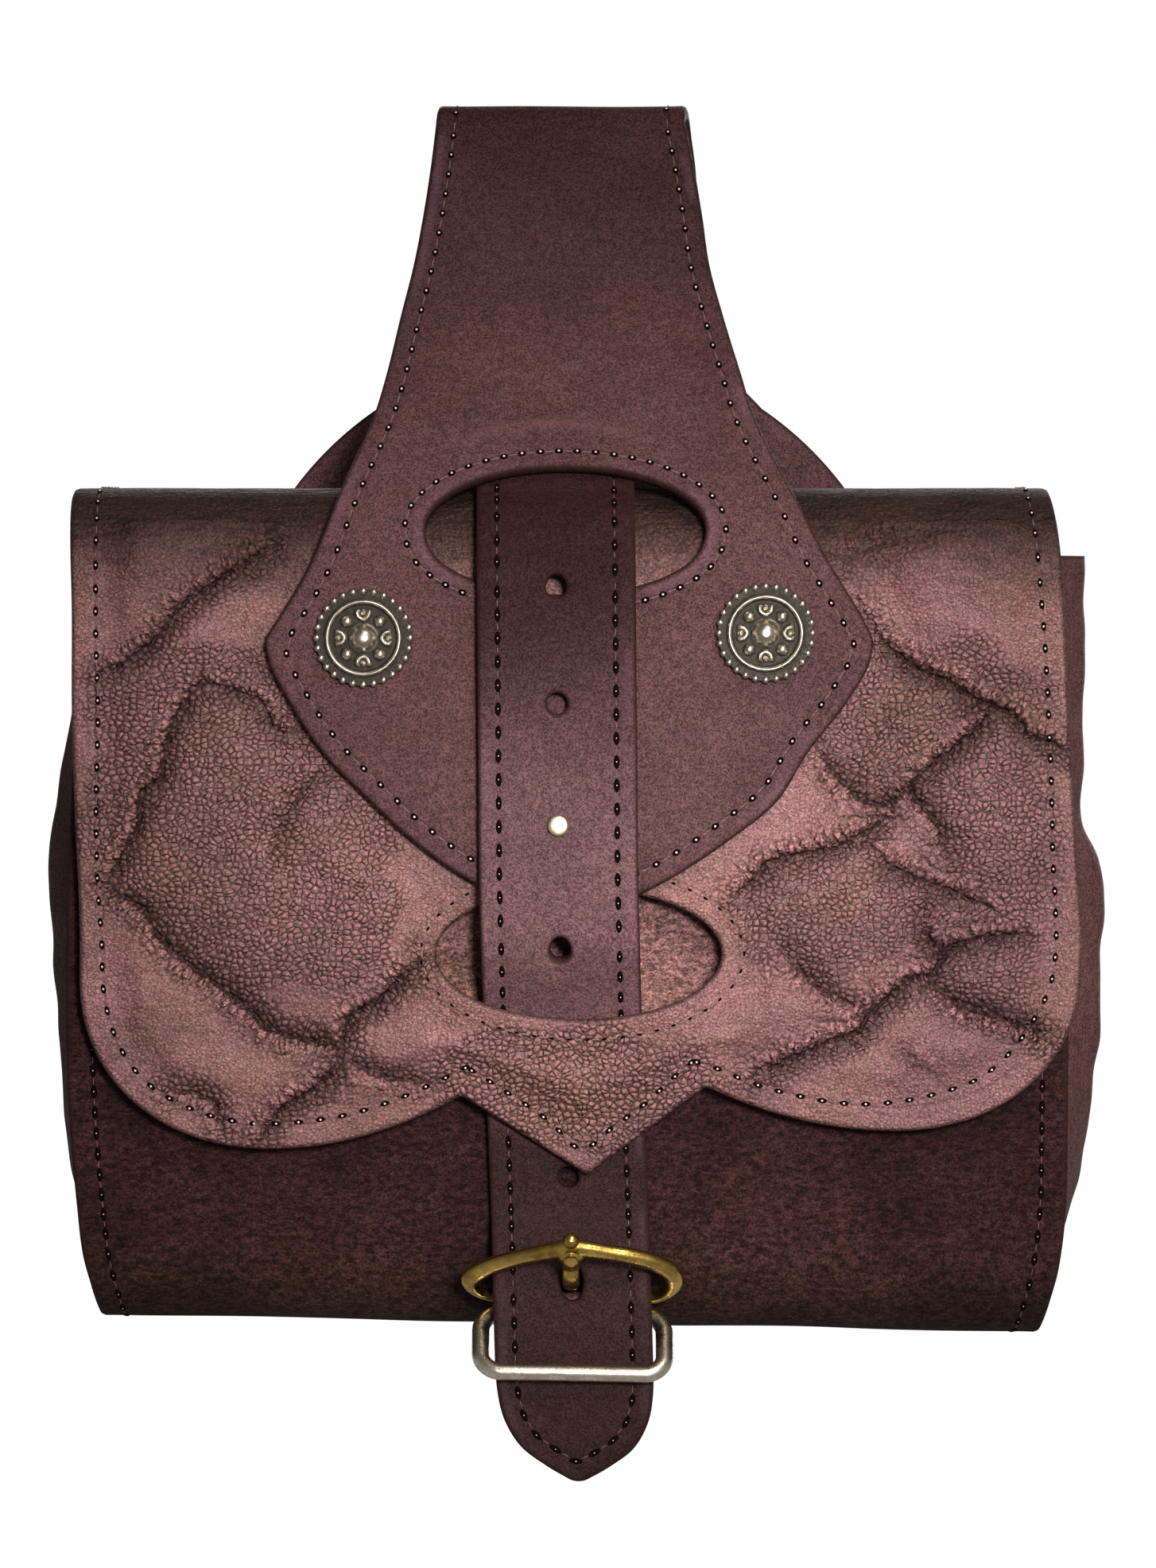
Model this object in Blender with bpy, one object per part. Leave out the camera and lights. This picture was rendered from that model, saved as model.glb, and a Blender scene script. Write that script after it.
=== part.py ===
"""A medieval belt pouch: a leather belt loop, a creased flap that goes over the top and down the
back, a front panel that turns under, two side gussets and a strap held by a buckle below.

+Z is up, the front faces -Y, and +X is to the right as seen from the front. The origin is the top
of the belt's way through the loop, in the middle. Sizes are millimetres until a mesh is written,
and heights are measured from a line LOOP_TOP below the origin.
Each leather piece is cut flat, in x across and s along its bend, and then bent in the YZ plane.
"""

import math

import bmesh
import bpy
import numpy as np
from mathutils import Vector
from mathutils.geometry import delaunay_2d_cdt

MM = 0.001
GAP = 0.3  # between pieces that touch
LOOP_HIDE = 3.0  # thickness of the belt loop and the strap
POUCH_HIDE = 2.5  # thickness of the flap and the front panel
GUSSET_HIDE = 2.0
BILLET_HIDE = 2.0

# Depths, as y. The belt's middle is at 0.
BELT_HALF_DEPTH = 4.0  # inner radius of the loop's fold
BACK_IN = BELT_HALF_DEPTH - GAP - POUCH_HIDE  # inner face of the pouch's back
PANEL_IN = -38.0  # inner face of the front panel
PANEL_OUT = PANEL_IN - POUCH_HIDE
FLAP_IN = PANEL_OUT - LOOP_HIDE - 2 * GAP  # the strap runs between the panel and the flap
FLAP_OUT = FLAP_IN - POUCH_HIDE
LEAF_IN = FLAP_OUT - GAP
LEAF_OUT = LEAF_IN - LOOP_HIDE
STRAP_IN = LEAF_OUT - GAP

# Heights, as z.
LOOP_TOP = 2.35  # inside of the loop's fold, where the belt's upper edge comes
FLAP_TOP = -69.0
FRONT_SHOULDER = 17.0  # outer radius where the flap turns over the front
BACK_SHOULDER = 12.0
MOUTH = -86.0  # top edge of the front panel
POUCH_BOTTOM = -229.2
BOTTOM_BEND = 15.0  # outer radius of the front panel's two lower bends
TURN_UP = -204.0  # top of the front panel's end, on the back
FLAP_BACK_END = -213.0

SWELL = 6.0  # how far the filled pouch's front stands out in its middle
SWELL_TOP = -80.0
SWELL_BOTTOM = -218.0
BOTTOM_SLOPE = 0.019  # the bottom hangs lower on the right
SLOPE_FROM = -196.0

# The belt loop, as seen from the front: half widths are not equal, so both edges are given.
LOOP_FRONT = (
    # z, left, right
    (-148.0, -7.5, 7.5),
    (-143.6, -17.5, 17.0),
    (-135.5, -29.4, 29.8),
    (-127.5, -38.1, 39.6),
    (-119.3, -46.2, 44.7),
    (-109.2, -53.0, 52.5),
    (-101.1, -56.9, 56.9),
    (-97.7, -57.4, 57.3),
    (-94.8, -55.7, 56.1),
    (-87.2, -51.0, 51.6),
    (-77.6, -46.2, 45.8),
    (-69.5, -42.9, 41.6),
    (-54.9, -36.7, 34.6),
    (-48.9, -35.0, 32.9),
    (-36.9, -32.2, 29.4),
    (-27.2, -29.9, 26.9),
    (-17.7, -28.2, 25.6),
    (-7.2, -26.7, 23.9),
    (1.0, -25.8, 22.3),
)
LOOP_TIP = -149.5
LOOP_BACK = ((-6.0, 24.5), (-24.0, 25.5), (-40.0, 28.5), (-46.0, 31.0))  # z, half width
PATCH = dict(x=0.0, z=-108.8, radius=66.9, neck=37.5)  # the round end of the loop's back leaf
UPPER_SLOT = dict(x=-0.75, z=-77.7, across=26.4, up=11.4)
LOWER_SLOT = dict(x=1.8, z=-156.8, across=26.9, up=12.2)
LEAF_LIFT = 3.0  # the leaf leaves the flap this much higher than the shoulder's centre

FLAP_LEFT = ((-162.0, -92.7), (-151.0, -92.7), (-130.0, -93.6), (-112.0, -94.1), (-91.0, -94.1))
FLAP_RIGHT = ((-160.0, 96.9), (-154.0, 97.2), (-146.0, 96.6), (-116.6, 94.8), (-97.4, 93.9), (-81.6, 92.9))
FLAP_TOP_EDGES = (-94.6, 91.6)
FLAP_BACK_EDGES = (-90.5, 90.5)
LEFT_LOBE = dict(x=-56.6, z=-194.1)  # lowest point of the flap's left lobe
RIGHT_LOBE = dict(x=61.7, z=-190.7)
LEFT_NOTCH = dict(x=-20.4, z=-183.8)
RIGHT_NOTCH = dict(x=25.8, z=-182.1)
FLAP_TIP = dict(x=3.4, z=-199.0)

# Valleys between the puffed cells of the flap, as seen from the front.
PUFF = 2.2  # height of the cells over their valleys
PRESSED = 6.0  # the hide is pressed flat this far from the edges, the leaf and the slot
PUFF_RUN = 7.0  # and its cells rise over this distance from there
LIP = dict(height=4.6, top=-151.0, full=-163.0, end=-190.0, flat=18.0, reach=36.0)  # over the strap
FOLDS = (
    # name, width, points (x, z)
    ("left long", 5.0, ((-87, -145), (-76, -155), (-66, -163), (-55, -172), (-43, -176))),
    ("left to slot", 4.5, ((-43, -176), (-39, -167), (-28, -158))),
    ("left to edge", 4.5, ((-43, -176), (-48, -182), (-58, -191))),
    ("left upright", 5.0, ((-70, -106), (-76, -116), (-81, -131), (-87, -145))),
    ("left under leaf", 4.5, ((-70, -106), (-58, -110), (-49, -114))),
    ("left shoulder", 5.0, ((-56, -81), (-70, -89), (-79, -98), (-89, -104))),
    ("right shoulder", 5.5, ((56, -92), (66, -103), (77, -109), (94, -119))),
    ("right upright", 5.0, ((80, -110), (72, -119), (64, -125), (71, -138))),
    ("right inner", 4.5, ((64, -125), (55, -130), (48, -137), (37, -140))),
    ("right middle", 4.5, ((56, -137), (67, -143), (79, -148))),
    ("right outer", 4.5, ((67, -149), (69, -155), (86, -153))),
    ("right long", 5.0, ((74, -156), (64, -162), (49, -174), (35, -179))),
    ("right low", 4.5, ((69, -163), (78, -168), (91, -174))),
)

PANEL_EDGES = (
    # z, left, right
    (-195.0, -94.7, 94.8),
    (-205.0, -93.8, 94.6),
    (-216.0, -92.6, 93.2),
)
PANEL_TOP_EDGES = (-93.0, 93.0)
PANEL_BOTTOM_EDGES = (-91.3, 91.7)

# How far out the gussets' two sides would meet, as x without its sign.
GUSSET_TOP = -82.0
FLANGE = 8.0  # sewn inside the panel's edge
FLANGE_INSET = 1.0
GUSSET_BEND = 2.8
GUSSET_BELLY = 14.0  # radius of the fold along the gusset's middle
GUSSET_ROWS = 17
GUSSET_LEAST = 0.2  # how far its middle always reaches past its flanges
GUSSET_REACH = (
    # z, left, right
    (-82.0, 95.0, 100.3),
    (-98.0, 94.6, 100.2),
    (-112.0, 96.2, 100.1),
    (-124.0, 98.6, 99.8),
    (-134.0, 100.9, 99.9),
    (-141.0, 101.8, 104.4),
    (-149.0, 101.4, 106.2),
    (-158.0, 100.6, 104.6),
    (-170.0, 99.2, 104.8),
    (-180.0, 98.1, 103.0),
    (-190.0, 97.9, 101.0),
    (-201.0, 96.0, 99.0),
    (-213.0, 92.8, 94.6),
    (-227.0, 90.8, 91.2),
)

# The strap, with its middle leaning slightly to the right on its way down.
STRAP_WIDTH = 30.0
STRAP_TOP = -59.0  # its end is sewn behind the front leaf
STRAP_ENTRY = -70.0  # where it comes out through the upper slot
STRAP_TIP = -257.0
STRAP_MIDDLE = ((-256.0, 1.7), (-234.0, 0.9), (-210.0, 0.2), (-166.0, -1.4), (-143.0, -2.0), (-60.0, -2.7))
STRAP_POINT = ((0.0, 0.6), (1.2, 3.2), (3.2, 6.5), (6.3, 10.5), (11.8, 13.7), (17.4, 14.8))  # rise, half
STRAP_SHOULDER = 21.0  # how far over its tip it has its full width
STRAP_WAY = (
    # over what, further out, z, radius: from its tip up to the upper slot
    ("bars", -3.0, STRAP_TIP, 0.0),
    ("bars", 0.0, -227.0, 25.0),
    ("bars", 0.0, -220.6, 6.0),
    ("panel", 0.0, -207.5, 12.0),
    ("panel", 0.0, -187.0, 20.0),
    ("panel", 4.0, -165.5, 20.0),
    ("leaf", 0.0, -154.0, 8.0),
    ("leaf", 0.0, -85.3, 8.0),
    ("leaf", -4.0, -77.2, 14.0),
)
STRAP_HOLES = (-87.6, -109.5, -155.0, -199.6)
STRAP_HOLE = 3.9
PRONG_HOLE = dict(x=0.0, z=-219.6, across=2.2, up=3.0)
RIVET = dict(z=-132.3, radius=2.0, height=0.9)

# The buckle, its ring and the leather that holds both under the pouch.
BUCKLE_X = 0.6
PIVOT = (-43.0, -222.2)  # y, z
RING_BAR = (-43.0, -225.9)
BAR_RADIUS = 1.65
PIVOT_RADIUS = 1.3
BILLET_HALF_WIDTH = 12.0
BILLET_TAIL = -8.0  # y of its end, sewn under the pouch
BILLET_SLOT = (0.5, -2.6)  # from the pivot up: its ends before and behind the bar
FRAME_X = 0.3
FRAME_LEAN = math.radians(52)  # from the vertical, towards the front
FRAME_PEAK = 18.7  # how far the knob's middle is from the pivot
FRAME_LINE = (
    # x, rise from the pivot bar: from its right end over the top to its left end and back
    (16.2, 0.0),
    (18.6, 2.4),
    (19.6, 5.6),
    (18.9, 8.8),
    (16.0, 11.6),
    (11.5, 13.9),
    (7.0, 15.2),
    (2.8, 16.3),
    (0.0, FRAME_PEAK),
    (-2.8, 15.8),
    (-7.6, 14.0),
    (-12.4, 11.7),
    (-16.6, 8.8),
    (-19.2, 5.5),
    (-18.6, 2.4),
    (-16.2, 0.0),
    (-9.0, 0.0),
    (0.0, 0.0),
    (9.0, 0.0),
)
KNOB_RADIUS = 2.0
RING_HALF_WIDTH = 17.4
RING_LENGTH = 13.6
RING_LEAN = math.radians(42)
RING_CORNER = 4.0
PRONG_HALF_WIDTH = 1.6
PRONG_HALF_THICK = 1.0
PRONG_HOOK = (-35.0, 90.0)  # degrees round the pivot bar, from behind it to its top
PRONG_LINE = ((-47.3, -219.9), (-50.6, -219.3), (-53.2, -217.8), (-54.7, -215.7))  # y, z
PRONG_REST = 2.2  # length of its straight end, which lies on the knob
PRONG_END = 0.7  # size of its tip

CONCHOS = (("concho_left", -38.8, -97.2), ("concho_right", 37.0, -96.3))  # name, x, z
CONCHO_BEADS = 28
CONCHO_RINGS = (
    # radius, height, rise of the beads or domes there
    (9.35, 0.5, 0.5),
    (8.95, 0.8, 0.8),
    (8.1, 0.8, 0.1),
    (7.1, 1.0, 0.0),
    (6.8, 1.6, 0.0),
    (6.3, 1.0, 0.0),
    (4.35, 1.0, 0.0),
    (2.5, 1.2, 0.0),
    (1.7, 2.5, 0.0),
    (0.7, 3.0, 0.0),
)
STUDS = 8
STUD_RING = 4.35  # radius on which the small raised studs stand
STUD_RISE = 0.8

TUBE_SIDES = 8

FINISHES = {
    # red, green, blue, roughness, metallic
    "smooth leather": (0.105, 0.052, 0.050, 0.55, 0.0),
    "creased leather": (0.170, 0.090, 0.086, 0.50, 0.0),
    "dark suede": (0.040, 0.019, 0.021, 0.80, 0.0),
    "antique brass": (0.330, 0.240, 0.110, 0.35, 1.0),
    "nickel": (0.560, 0.520, 0.450, 0.30, 1.0),
    "antique silver": (0.210, 0.190, 0.150, 0.40, 1.0),
    "cream brass": (0.700, 0.600, 0.430, 0.35, 1.0),
}


def clear_scene():
    for thing in list(bpy.data.objects):
        bpy.data.objects.remove(thing)


def finish(name):
    """The Principled material of that name, made once."""
    if name in bpy.data.materials:
        return bpy.data.materials[name]
    red, green, blue, roughness, metallic = FINISHES[name]
    material = bpy.data.materials.new(name)
    material.use_nodes = True
    shader = material.node_tree.nodes["Principled BSDF"]
    shader.inputs["Base Color"].default_value = (red, green, blue, 1.0)
    shader.inputs["Roughness"].default_value = roughness
    shader.inputs["Metallic"].default_value = metallic
    return material


def smoothstep(low, high, value):
    share = min(max((value - low) / (high - low), 0.0), 1.0)
    return share * share * (3 - 2 * share)


def read_table(rows, value, column=1):
    """The column's value at a place in the first column, straight between the rows."""
    rows = sorted(rows)
    return float(np.interp(value, [row[0] for row in rows], [row[column] for row in rows]))


def settle(x, y, z):
    """Where a point goes once the pouch is filled and hangs: the front swells and the bottom slopes."""
    forward = min(max((BACK_IN - y) / (BACK_IN - PANEL_IN), 0.0), 1.0)
    across = math.cos(math.pi * x / 204.0) ** 2
    down = min(max((SWELL_TOP - z) / (SWELL_TOP - SWELL_BOTTOM), 0.0), 1.0)
    y -= SWELL * forward * across * math.sin(math.pi * down) ** 2
    z -= BOTTOM_SLOPE * x * smoothstep(SLOPE_FROM, POUCH_BOTTOM, z)
    return Vector((x, y, z - LOOP_TOP)) * MM


def make_object(name, mesh, finish_name):
    thing = bpy.data.objects.new(name, mesh)
    bpy.context.scene.collection.objects.link(thing)
    mesh.materials.append(finish(finish_name))
    mesh.shade_smooth()
    mesh.set_sharp_from_angle(angle=math.radians(35))
    return thing


class Bend:
    """A line in the YZ plane of straight runs joined by arcs, read by the distance s along it.

    Its corners are rows of (y, z, radius). The outward side is on the left of the way it goes.
    """

    def __init__(self, corners):
        points = [Vector(row[:2]) for row in corners]
        self.runs = []  # start s, length, first point, direction angle, turn per length
        self.length = 0.0
        here = points[0]
        for before, corner, after, row in zip(points, points[1:], points[2:], corners[1:]):
            way_in = (corner - before).normalized()
            way_out = (after - corner).normalized()
            turn = math.atan2(way_in.cross(way_out), way_in.dot(way_out))
            trim = row[2] * abs(math.tan(turn / 2))
            straight = (corner - way_in * trim - here).dot(way_in)
            if straight < -1e-6:
                raise ValueError(f"the bend at {tuple(corner)} has no room for its radius")
            self._add(here, way_in, straight, 0.0)
            if abs(turn) > 1e-6:
                arc = row[2] * abs(turn)
                self._add(corner - way_in * trim, way_in, arc, turn / arc)
            here = corner + way_out * trim
        way = (points[-1] - here).normalized()
        self._add(here, way, (points[-1] - here).length, 0.0)

    def _add(self, point, way, length, curl):
        self.runs.append((self.length, length, point, math.atan2(way.y, way.x), curl))
        self.length += length

    def place(self, s, out=0.0):
        """The point at s, moved outward from the line by out."""
        start, length, point, angle, curl = next((r for r in reversed(self.runs) if r[0] <= s), self.runs[0])
        along = s - start
        if curl:
            turned = angle + curl * along
            step = Vector((math.sin(turned) - math.sin(angle), math.cos(angle) - math.cos(turned))) / curl
            angle = turned
        else:
            step = Vector((math.cos(angle), math.sin(angle))) * along
        return point + step + Vector((-math.sin(angle), math.cos(angle))) * out

    def stations(self, cell, flat=0.1):
        """The s values where the leather gets a row of points: no facet of an arc is off by more than flat."""
        found = [0.0]
        for start, length, _, _, curl in self.runs:
            turn = 2 * math.acos(1 - flat * abs(curl))
            rows = max(1, math.ceil(length / cell), math.ceil(abs(curl) * length / turn) if curl else 1)
            found += [start + length * (i + 1) / rows for i in range(rows)]
        return found

    def at_height(self, z, front=True):
        """The s at which the line passes height z, on its way up the front or down the back."""
        top = max(np.linspace(0, self.length, 400), key=lambda s: self.place(s).y)
        low, high = (0.0, top) if front else (self.length, top)
        for _ in range(40):
            middle = (low + high) / 2
            low, high = (middle, high) if self.place(middle).y < z else (low, middle)
        return (low + high) / 2


def ellipse(x, z, across, up, count):
    turns = [2 * math.pi * i / count for i in range(count)]
    return [(x + across * math.cos(t), z + up * math.sin(t)) for t in turns]


def distance_to_line(points, line, closed=True):
    """For each point, how far it is from the nearest part of a line given by its corners."""
    ends = np.array(line, float)
    starts = ends if closed else ends[:-1]
    ends = np.roll(ends, -1, axis=0) if closed else ends[1:]
    ways = ends - starts
    best = np.full(len(points), np.inf)
    for start, way in zip(starts, ways):
        share = np.clip((points - start) @ way / max(way @ way, 1e-12), 0, 1)
        best = np.minimum(best, np.linalg.norm(points - start - share[:, None] * way, axis=1))
    return best


def inside(points, loops):
    """Whether each point is inside the first loop and outside the others."""
    odd = np.zeros(len(points), bool)
    for loop in loops:
        starts = np.array(loop, float)
        for (x0, s0), (x1, s1) in zip(starts, np.roll(starts, -1, axis=0)):
            if s0 != s1:
                spans = (points[:, 1] > min(s0, s1)) & (points[:, 1] <= max(s0, s1))
                odd ^= spans & (points[:, 0] < x0 + (points[:, 1] - s0) * (x1 - x0) / (s1 - s0))
    return odd


def divide(loop, cell, stations):
    """The loop with a point wherever it crosses a station, and no side longer than a cell."""
    result = []
    for (x0, s0), (x1, s1) in zip(loop, loop[1:] + loop[:1]):
        shares = {i / max(1, math.ceil(math.hypot(x1 - x0, s1 - s0) / cell)) for i in range(200)}
        if abs(s1 - s0) > cell / 2:
            shares = {0.0} | {(s - s0) / (s1 - s0) for s in stations}
        result += [(x0 + t * (x1 - x0), s0 + t * (s1 - s0)) for t in sorted(shares) if 0 <= t < 0.97]
    return result


def cut_flat(loops, stations, cell):
    """Triangles that fill the loops, as flat points and triples of their numbers."""
    loops = [divide(loop, cell, stations) for loop in loops]
    edge_points = [Vector(p) for loop in loops for p in loop]
    edges, first = [], 0
    for loop in loops:
        edges += [(first + i, first + (i + 1) % len(loop)) for i in range(len(loop))]
        first += len(loop)
    widest = max(abs(x) for x, _ in loops[0])
    columns = math.ceil(widest / cell)
    grid = np.array([(cell * i, s) for s in stations for i in range(-columns, columns + 1)])
    keep = inside(grid, loops)
    for loop in loops:
        keep &= distance_to_line(grid, loop) > 0.42 * cell
    points = edge_points + [Vector(p) for p in grid[keep]]
    flat, _, faces, *_ = delaunay_2d_cdt(points, edges, [], 0, 1e-5)
    middles = np.array([sum((flat[i] for i in face), Vector((0, 0))) / 3 for face in faces])
    return flat, [face for face, ok in zip(faces, inside(middles, loops)) if ok]


def leather(name, bend, hide, loops, finish_name, cell, relief=None, lean=None):
    """A piece cut flat and bent: a closed solid of that thickness outward from the bend."""
    flat, faces = cut_flat(loops, bend.stations(cell), cell)
    rise = relief(flat, bend) if relief else [0.0] * len(flat)
    build = bmesh.new()
    sides = []
    for out in (0.0, hide):
        side = []
        for (x, s), lift in zip(flat, rise):
            y, z = bend.place(s, out + lift)
            side.append(build.verts.new(settle(x + (read_table(lean, z) if lean else 0.0), y, z)))
        sides.append(side)
    under, over = sides
    seen = set()
    for a, b, c in faces:
        build.faces.new((over[a], over[b], over[c]))
        build.faces.new((under[c], under[b], under[a]))
        seen |= {(a, b), (b, c), (c, a)}
    for a, b in sorted(seen):
        if (b, a) not in seen:
            build.faces.new((over[b], over[a], under[a], under[b]))
    bmesh.ops.delete(build, geom=[v for v in build.verts if not v.link_faces], context="VERTS")
    mesh = bpy.data.meshes.new(name)
    build.to_mesh(mesh)
    build.free()
    return make_object(name, mesh, finish_name)


def sweep(name, line, plane, section, finish_name, closed):
    """A bar whose section, in the plane and along its normal, follows a line lying in that plane."""
    build = bmesh.new()
    rings = []
    count = len(line)
    for i, point in enumerate(line):
        before = line[i - 1] if i or closed else point
        after = line[(i + 1) % count] if i + 1 < count or closed else point
        side = (after - before).normalized().cross(plane)
        rings.append([build.verts.new(settle(*(point + side * a + plane * b))) for a, b in section(i)])
    for i in range(count if closed else count - 1):
        one, two = rings[i], rings[(i + 1) % count]
        for j in range(len(one)):
            k = (j + 1) % len(one)
            build.faces.new((one[j], two[j], two[k], one[k]))
    if not closed:
        build.faces.new(rings[0])
        build.faces.new(rings[-1][::-1])
    bmesh.ops.recalc_face_normals(build, faces=build.faces)
    mesh = bpy.data.meshes.new(name)
    build.to_mesh(mesh)
    build.free()
    return make_object(name, mesh, finish_name)


def loop_bend():
    """Inner face of the belt loop: up the flap's front, over the belt and down the back."""
    bend = FRONT_SHOULDER + GAP
    shoulder = Vector((FLAP_OUT + FRONT_SHOULDER, FLAP_TOP - FRONT_SHOULDER + LEAF_LIFT))
    fold = Vector((0.0, LOOP_TOP - BELT_HALF_DEPTH))
    apart = fold - shoulder
    slant = math.atan2(apart.x, apart.y) + math.asin((bend - BELT_HALF_DEPTH) / apart.length)
    front_corner = (LEAF_IN, shoulder.y + bend * math.tan(slant / 2))
    top_front = (front_corner[0] + (LOOP_TOP - front_corner[1]) * math.tan(slant), LOOP_TOP)
    return Bend(
        (
            (LEAF_IN, LOOP_TIP, 0.0),
            (*front_corner, bend),
            (*top_front, BELT_HALF_DEPTH),
            (BELT_HALF_DEPTH, LOOP_TOP, BELT_HALF_DEPTH),
            (BELT_HALF_DEPTH, PATCH["z"] - PATCH["radius"], 0.0),
        )
    )


def flap_bend():
    """Inner face of the flap: up the front, over the pouch and down its back."""
    top = FLAP_TOP - POUCH_HIDE
    return Bend(
        (
            (FLAP_IN, FLAP_TIP["z"], 0.0),
            (FLAP_IN, top, FRONT_SHOULDER - POUCH_HIDE),
            (BACK_IN, top, BACK_SHOULDER - POUCH_HIDE),
            (BACK_IN, FLAP_BACK_END, 0.0),
        )
    )


def panel_bend():
    """Inner face of the front panel: down the back from its end, forward and up the front."""
    bottom = POUCH_BOTTOM + POUCH_HIDE
    radius = BOTTOM_BEND - POUCH_HIDE
    return Bend(
        (
            (BELT_HALF_DEPTH, TURN_UP, 0.0),
            (BELT_HALF_DEPTH, bottom, radius),
            (PANEL_IN, bottom, radius),
            (PANEL_IN, MOUTH, 0.0),
        )
    )


def strap_bend(leaf):
    """Back face of the strap, from its tip up: over the buckle's bars, behind the flap, out through
    the lower slot, over the leaf and in through the upper slot, to its end behind the leaf."""
    depths = {
        "bars": PIVOT[0] - BAR_RADIUS - 2 * GAP - BILLET_HIDE,
        "panel": PANEL_OUT - GAP,
        "leaf": STRAP_IN,
    }
    behind_leaf = -(LOOP_HIDE + GAP)
    entry = leaf.place(leaf.at_height(STRAP_ENTRY), behind_leaf)
    end = leaf.place(leaf.at_height(STRAP_TOP), behind_leaf)
    way = [(depths[over] - out, z, radius) for over, out, z, radius in STRAP_WAY]
    return Bend(way + [(*entry, 8.0), (*end, 0.0)])


def billet_bend():
    """Inner face of the billet: forward under the pouch, up round both bars and down behind them."""
    clear = BAR_RADIUS + GAP
    under = RING_BAR[1] - clear
    tail = POUCH_BOTTOM - GAP
    return Bend(
        (
            (BILLET_TAIL, tail, 0.0),
            (PANEL_IN + 4.0, tail, 8.0),
            (RING_BAR[0] + clear, under, 8.0),
            (RING_BAR[0] - clear, under, clear),
            (PIVOT[0] - clear, PIVOT[1] + clear, clear),
            (PIVOT[0] + clear, PIVOT[1] + clear, clear),
            (RING_BAR[0] + clear, RING_BAR[1], 0.0),
        )
    )


def loop_outline(bend):
    """The loop's flat edge, from the front tip up its right side, round the patch and back down."""
    front = [(z, bend.at_height(z), left, right) for z, left, right in LOOP_FRONT]
    back = [(bend.at_height(z, front=False), half) for z, half in LOOP_BACK]
    radius = PATCH["radius"]
    middle = bend.at_height(PATCH["z"], front=False)
    start = math.asin(PATCH["neck"] / radius)
    turns = np.linspace(start, 2 * math.pi - start, 40)
    patch = [(PATCH["x"] + radius * math.sin(t), middle - radius * math.cos(t)) for t in turns]
    right = [(edge, s) for _, s, _, edge in front] + [(half, s) for s, half in back]
    left = [(edge, s) for _, s, edge, _ in front] + [(-half, s) for s, half in back]
    return [(0.0, 0.0)] + right + patch + left[::-1]


def lobe(low, side, notch, count=9, fullness=0.94):
    """A flap lobe's edge, from the notch to its lowest point and round up to the side edge."""
    inner = [
        (low["x"] + (notch["x"] - low["x"]) * t, low["z"] + (notch["z"] - low["z"]) * t * t)
        for t in np.linspace(1, 0, 7)
    ]
    turns = np.linspace(0, math.pi / 2, count)[1:]
    outer = [
        (
            low["x"] + (side[1] - low["x"]) * math.sin(t) ** fullness,
            side[0] + (low["z"] - side[0]) * math.cos(t) ** fullness,
        )
        for t in turns
    ]
    return inner + outer


def flap_front_edge():
    """The flap's lower edge as seen from the front, from the left side to the right."""
    left = lobe(LEFT_LOBE, FLAP_LEFT[0], LEFT_NOTCH)[::-1]
    right = lobe(RIGHT_LOBE, FLAP_RIGHT[0], RIGHT_NOTCH)
    return left + [(FLAP_TIP["x"], FLAP_TIP["z"])] + right


def flap_outline(bend):
    """The flap's flat edge: the front's lobes, the right side over to the back, and the left side."""
    front = [(x, bend.at_height(z)) for x, z in flap_front_edge()]
    right = [(x, bend.at_height(z)) for z, x in FLAP_RIGHT[1:]]
    left = [(x, bend.at_height(z)) for z, x in FLAP_LEFT[1:]]
    top = bend.at_height(FLAP_TOP - POUCH_HIDE - 1.0)
    back = bend.at_height(FLAP_TOP - BACK_SHOULDER, front=False)
    right += [(FLAP_TOP_EDGES[1], top), (FLAP_BACK_EDGES[1], back), (FLAP_BACK_EDGES[1], bend.length)]
    left += [(FLAP_TOP_EDGES[0], top), (FLAP_BACK_EDGES[0], back), (FLAP_BACK_EDGES[0], bend.length)]
    return front + right + left[::-1]


def lip_rise(x, z):
    """How far the flap stands out below its slot, where the strap passes behind it."""
    down = smoothstep(LIP["end"], LIP["full"], z) * smoothstep(LIP["top"], LIP["full"], z)
    return LIP["height"] * down * smoothstep(LIP["reach"], LIP["flat"], abs(x))


def flap_relief(flat, bend):
    """How far the flap's cells puff out at each flat point: nothing in the valleys, at the edges,
    under the belt loop or round the slot."""
    seen = np.array([(x, bend.place(s).y) for x, s in flat])
    on_front = np.array([s < bend.at_height(FLAP_TOP - 8.0) for _, s in flat])
    leaf = [(right, z) for z, _, right in LOOP_FRONT] + [(left, z) for z, left, _ in LOOP_FRONT[::-1]]
    edge = [(-94.0, -70.0)] + flap_front_edge() + [(94.0, -70.0)]
    slot = ellipse(LOWER_SLOT["x"], LOWER_SLOT["z"], LOWER_SLOT["across"], LOWER_SLOT["up"], 24)
    room = np.minimum(distance_to_line(seen, leaf), distance_to_line(seen, slot))
    room = np.minimum(room, distance_to_line(seen, edge, closed=False))
    room[inside(seen, [leaf])] = 0.0
    share = np.clip((room - PRESSED) / PUFF_RUN, 0, 1)
    valley = np.zeros(len(seen))
    for _, width, points in FOLDS:
        valley = np.maximum(valley, np.exp(-((distance_to_line(seen, points, closed=False) / width) ** 2)))
    lip = [lip_rise(x - LOWER_SLOT["x"], z) for x, z in seen]
    return (PUFF * share * share * (3 - 2 * share) * (1 - valley) + lip) * on_front


def slot_in(bend, slot, count):
    return [(x, bend.at_height(z)) for x, z in ellipse(slot["x"], slot["z"], slot["across"], slot["up"], count)]


def make_belt_loop(bend):
    loops = [loop_outline(bend), slot_in(bend, UPPER_SLOT, 28)]
    leather("belt_loop", bend, LOOP_HIDE, loops, "smooth leather", cell=9.0)


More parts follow.
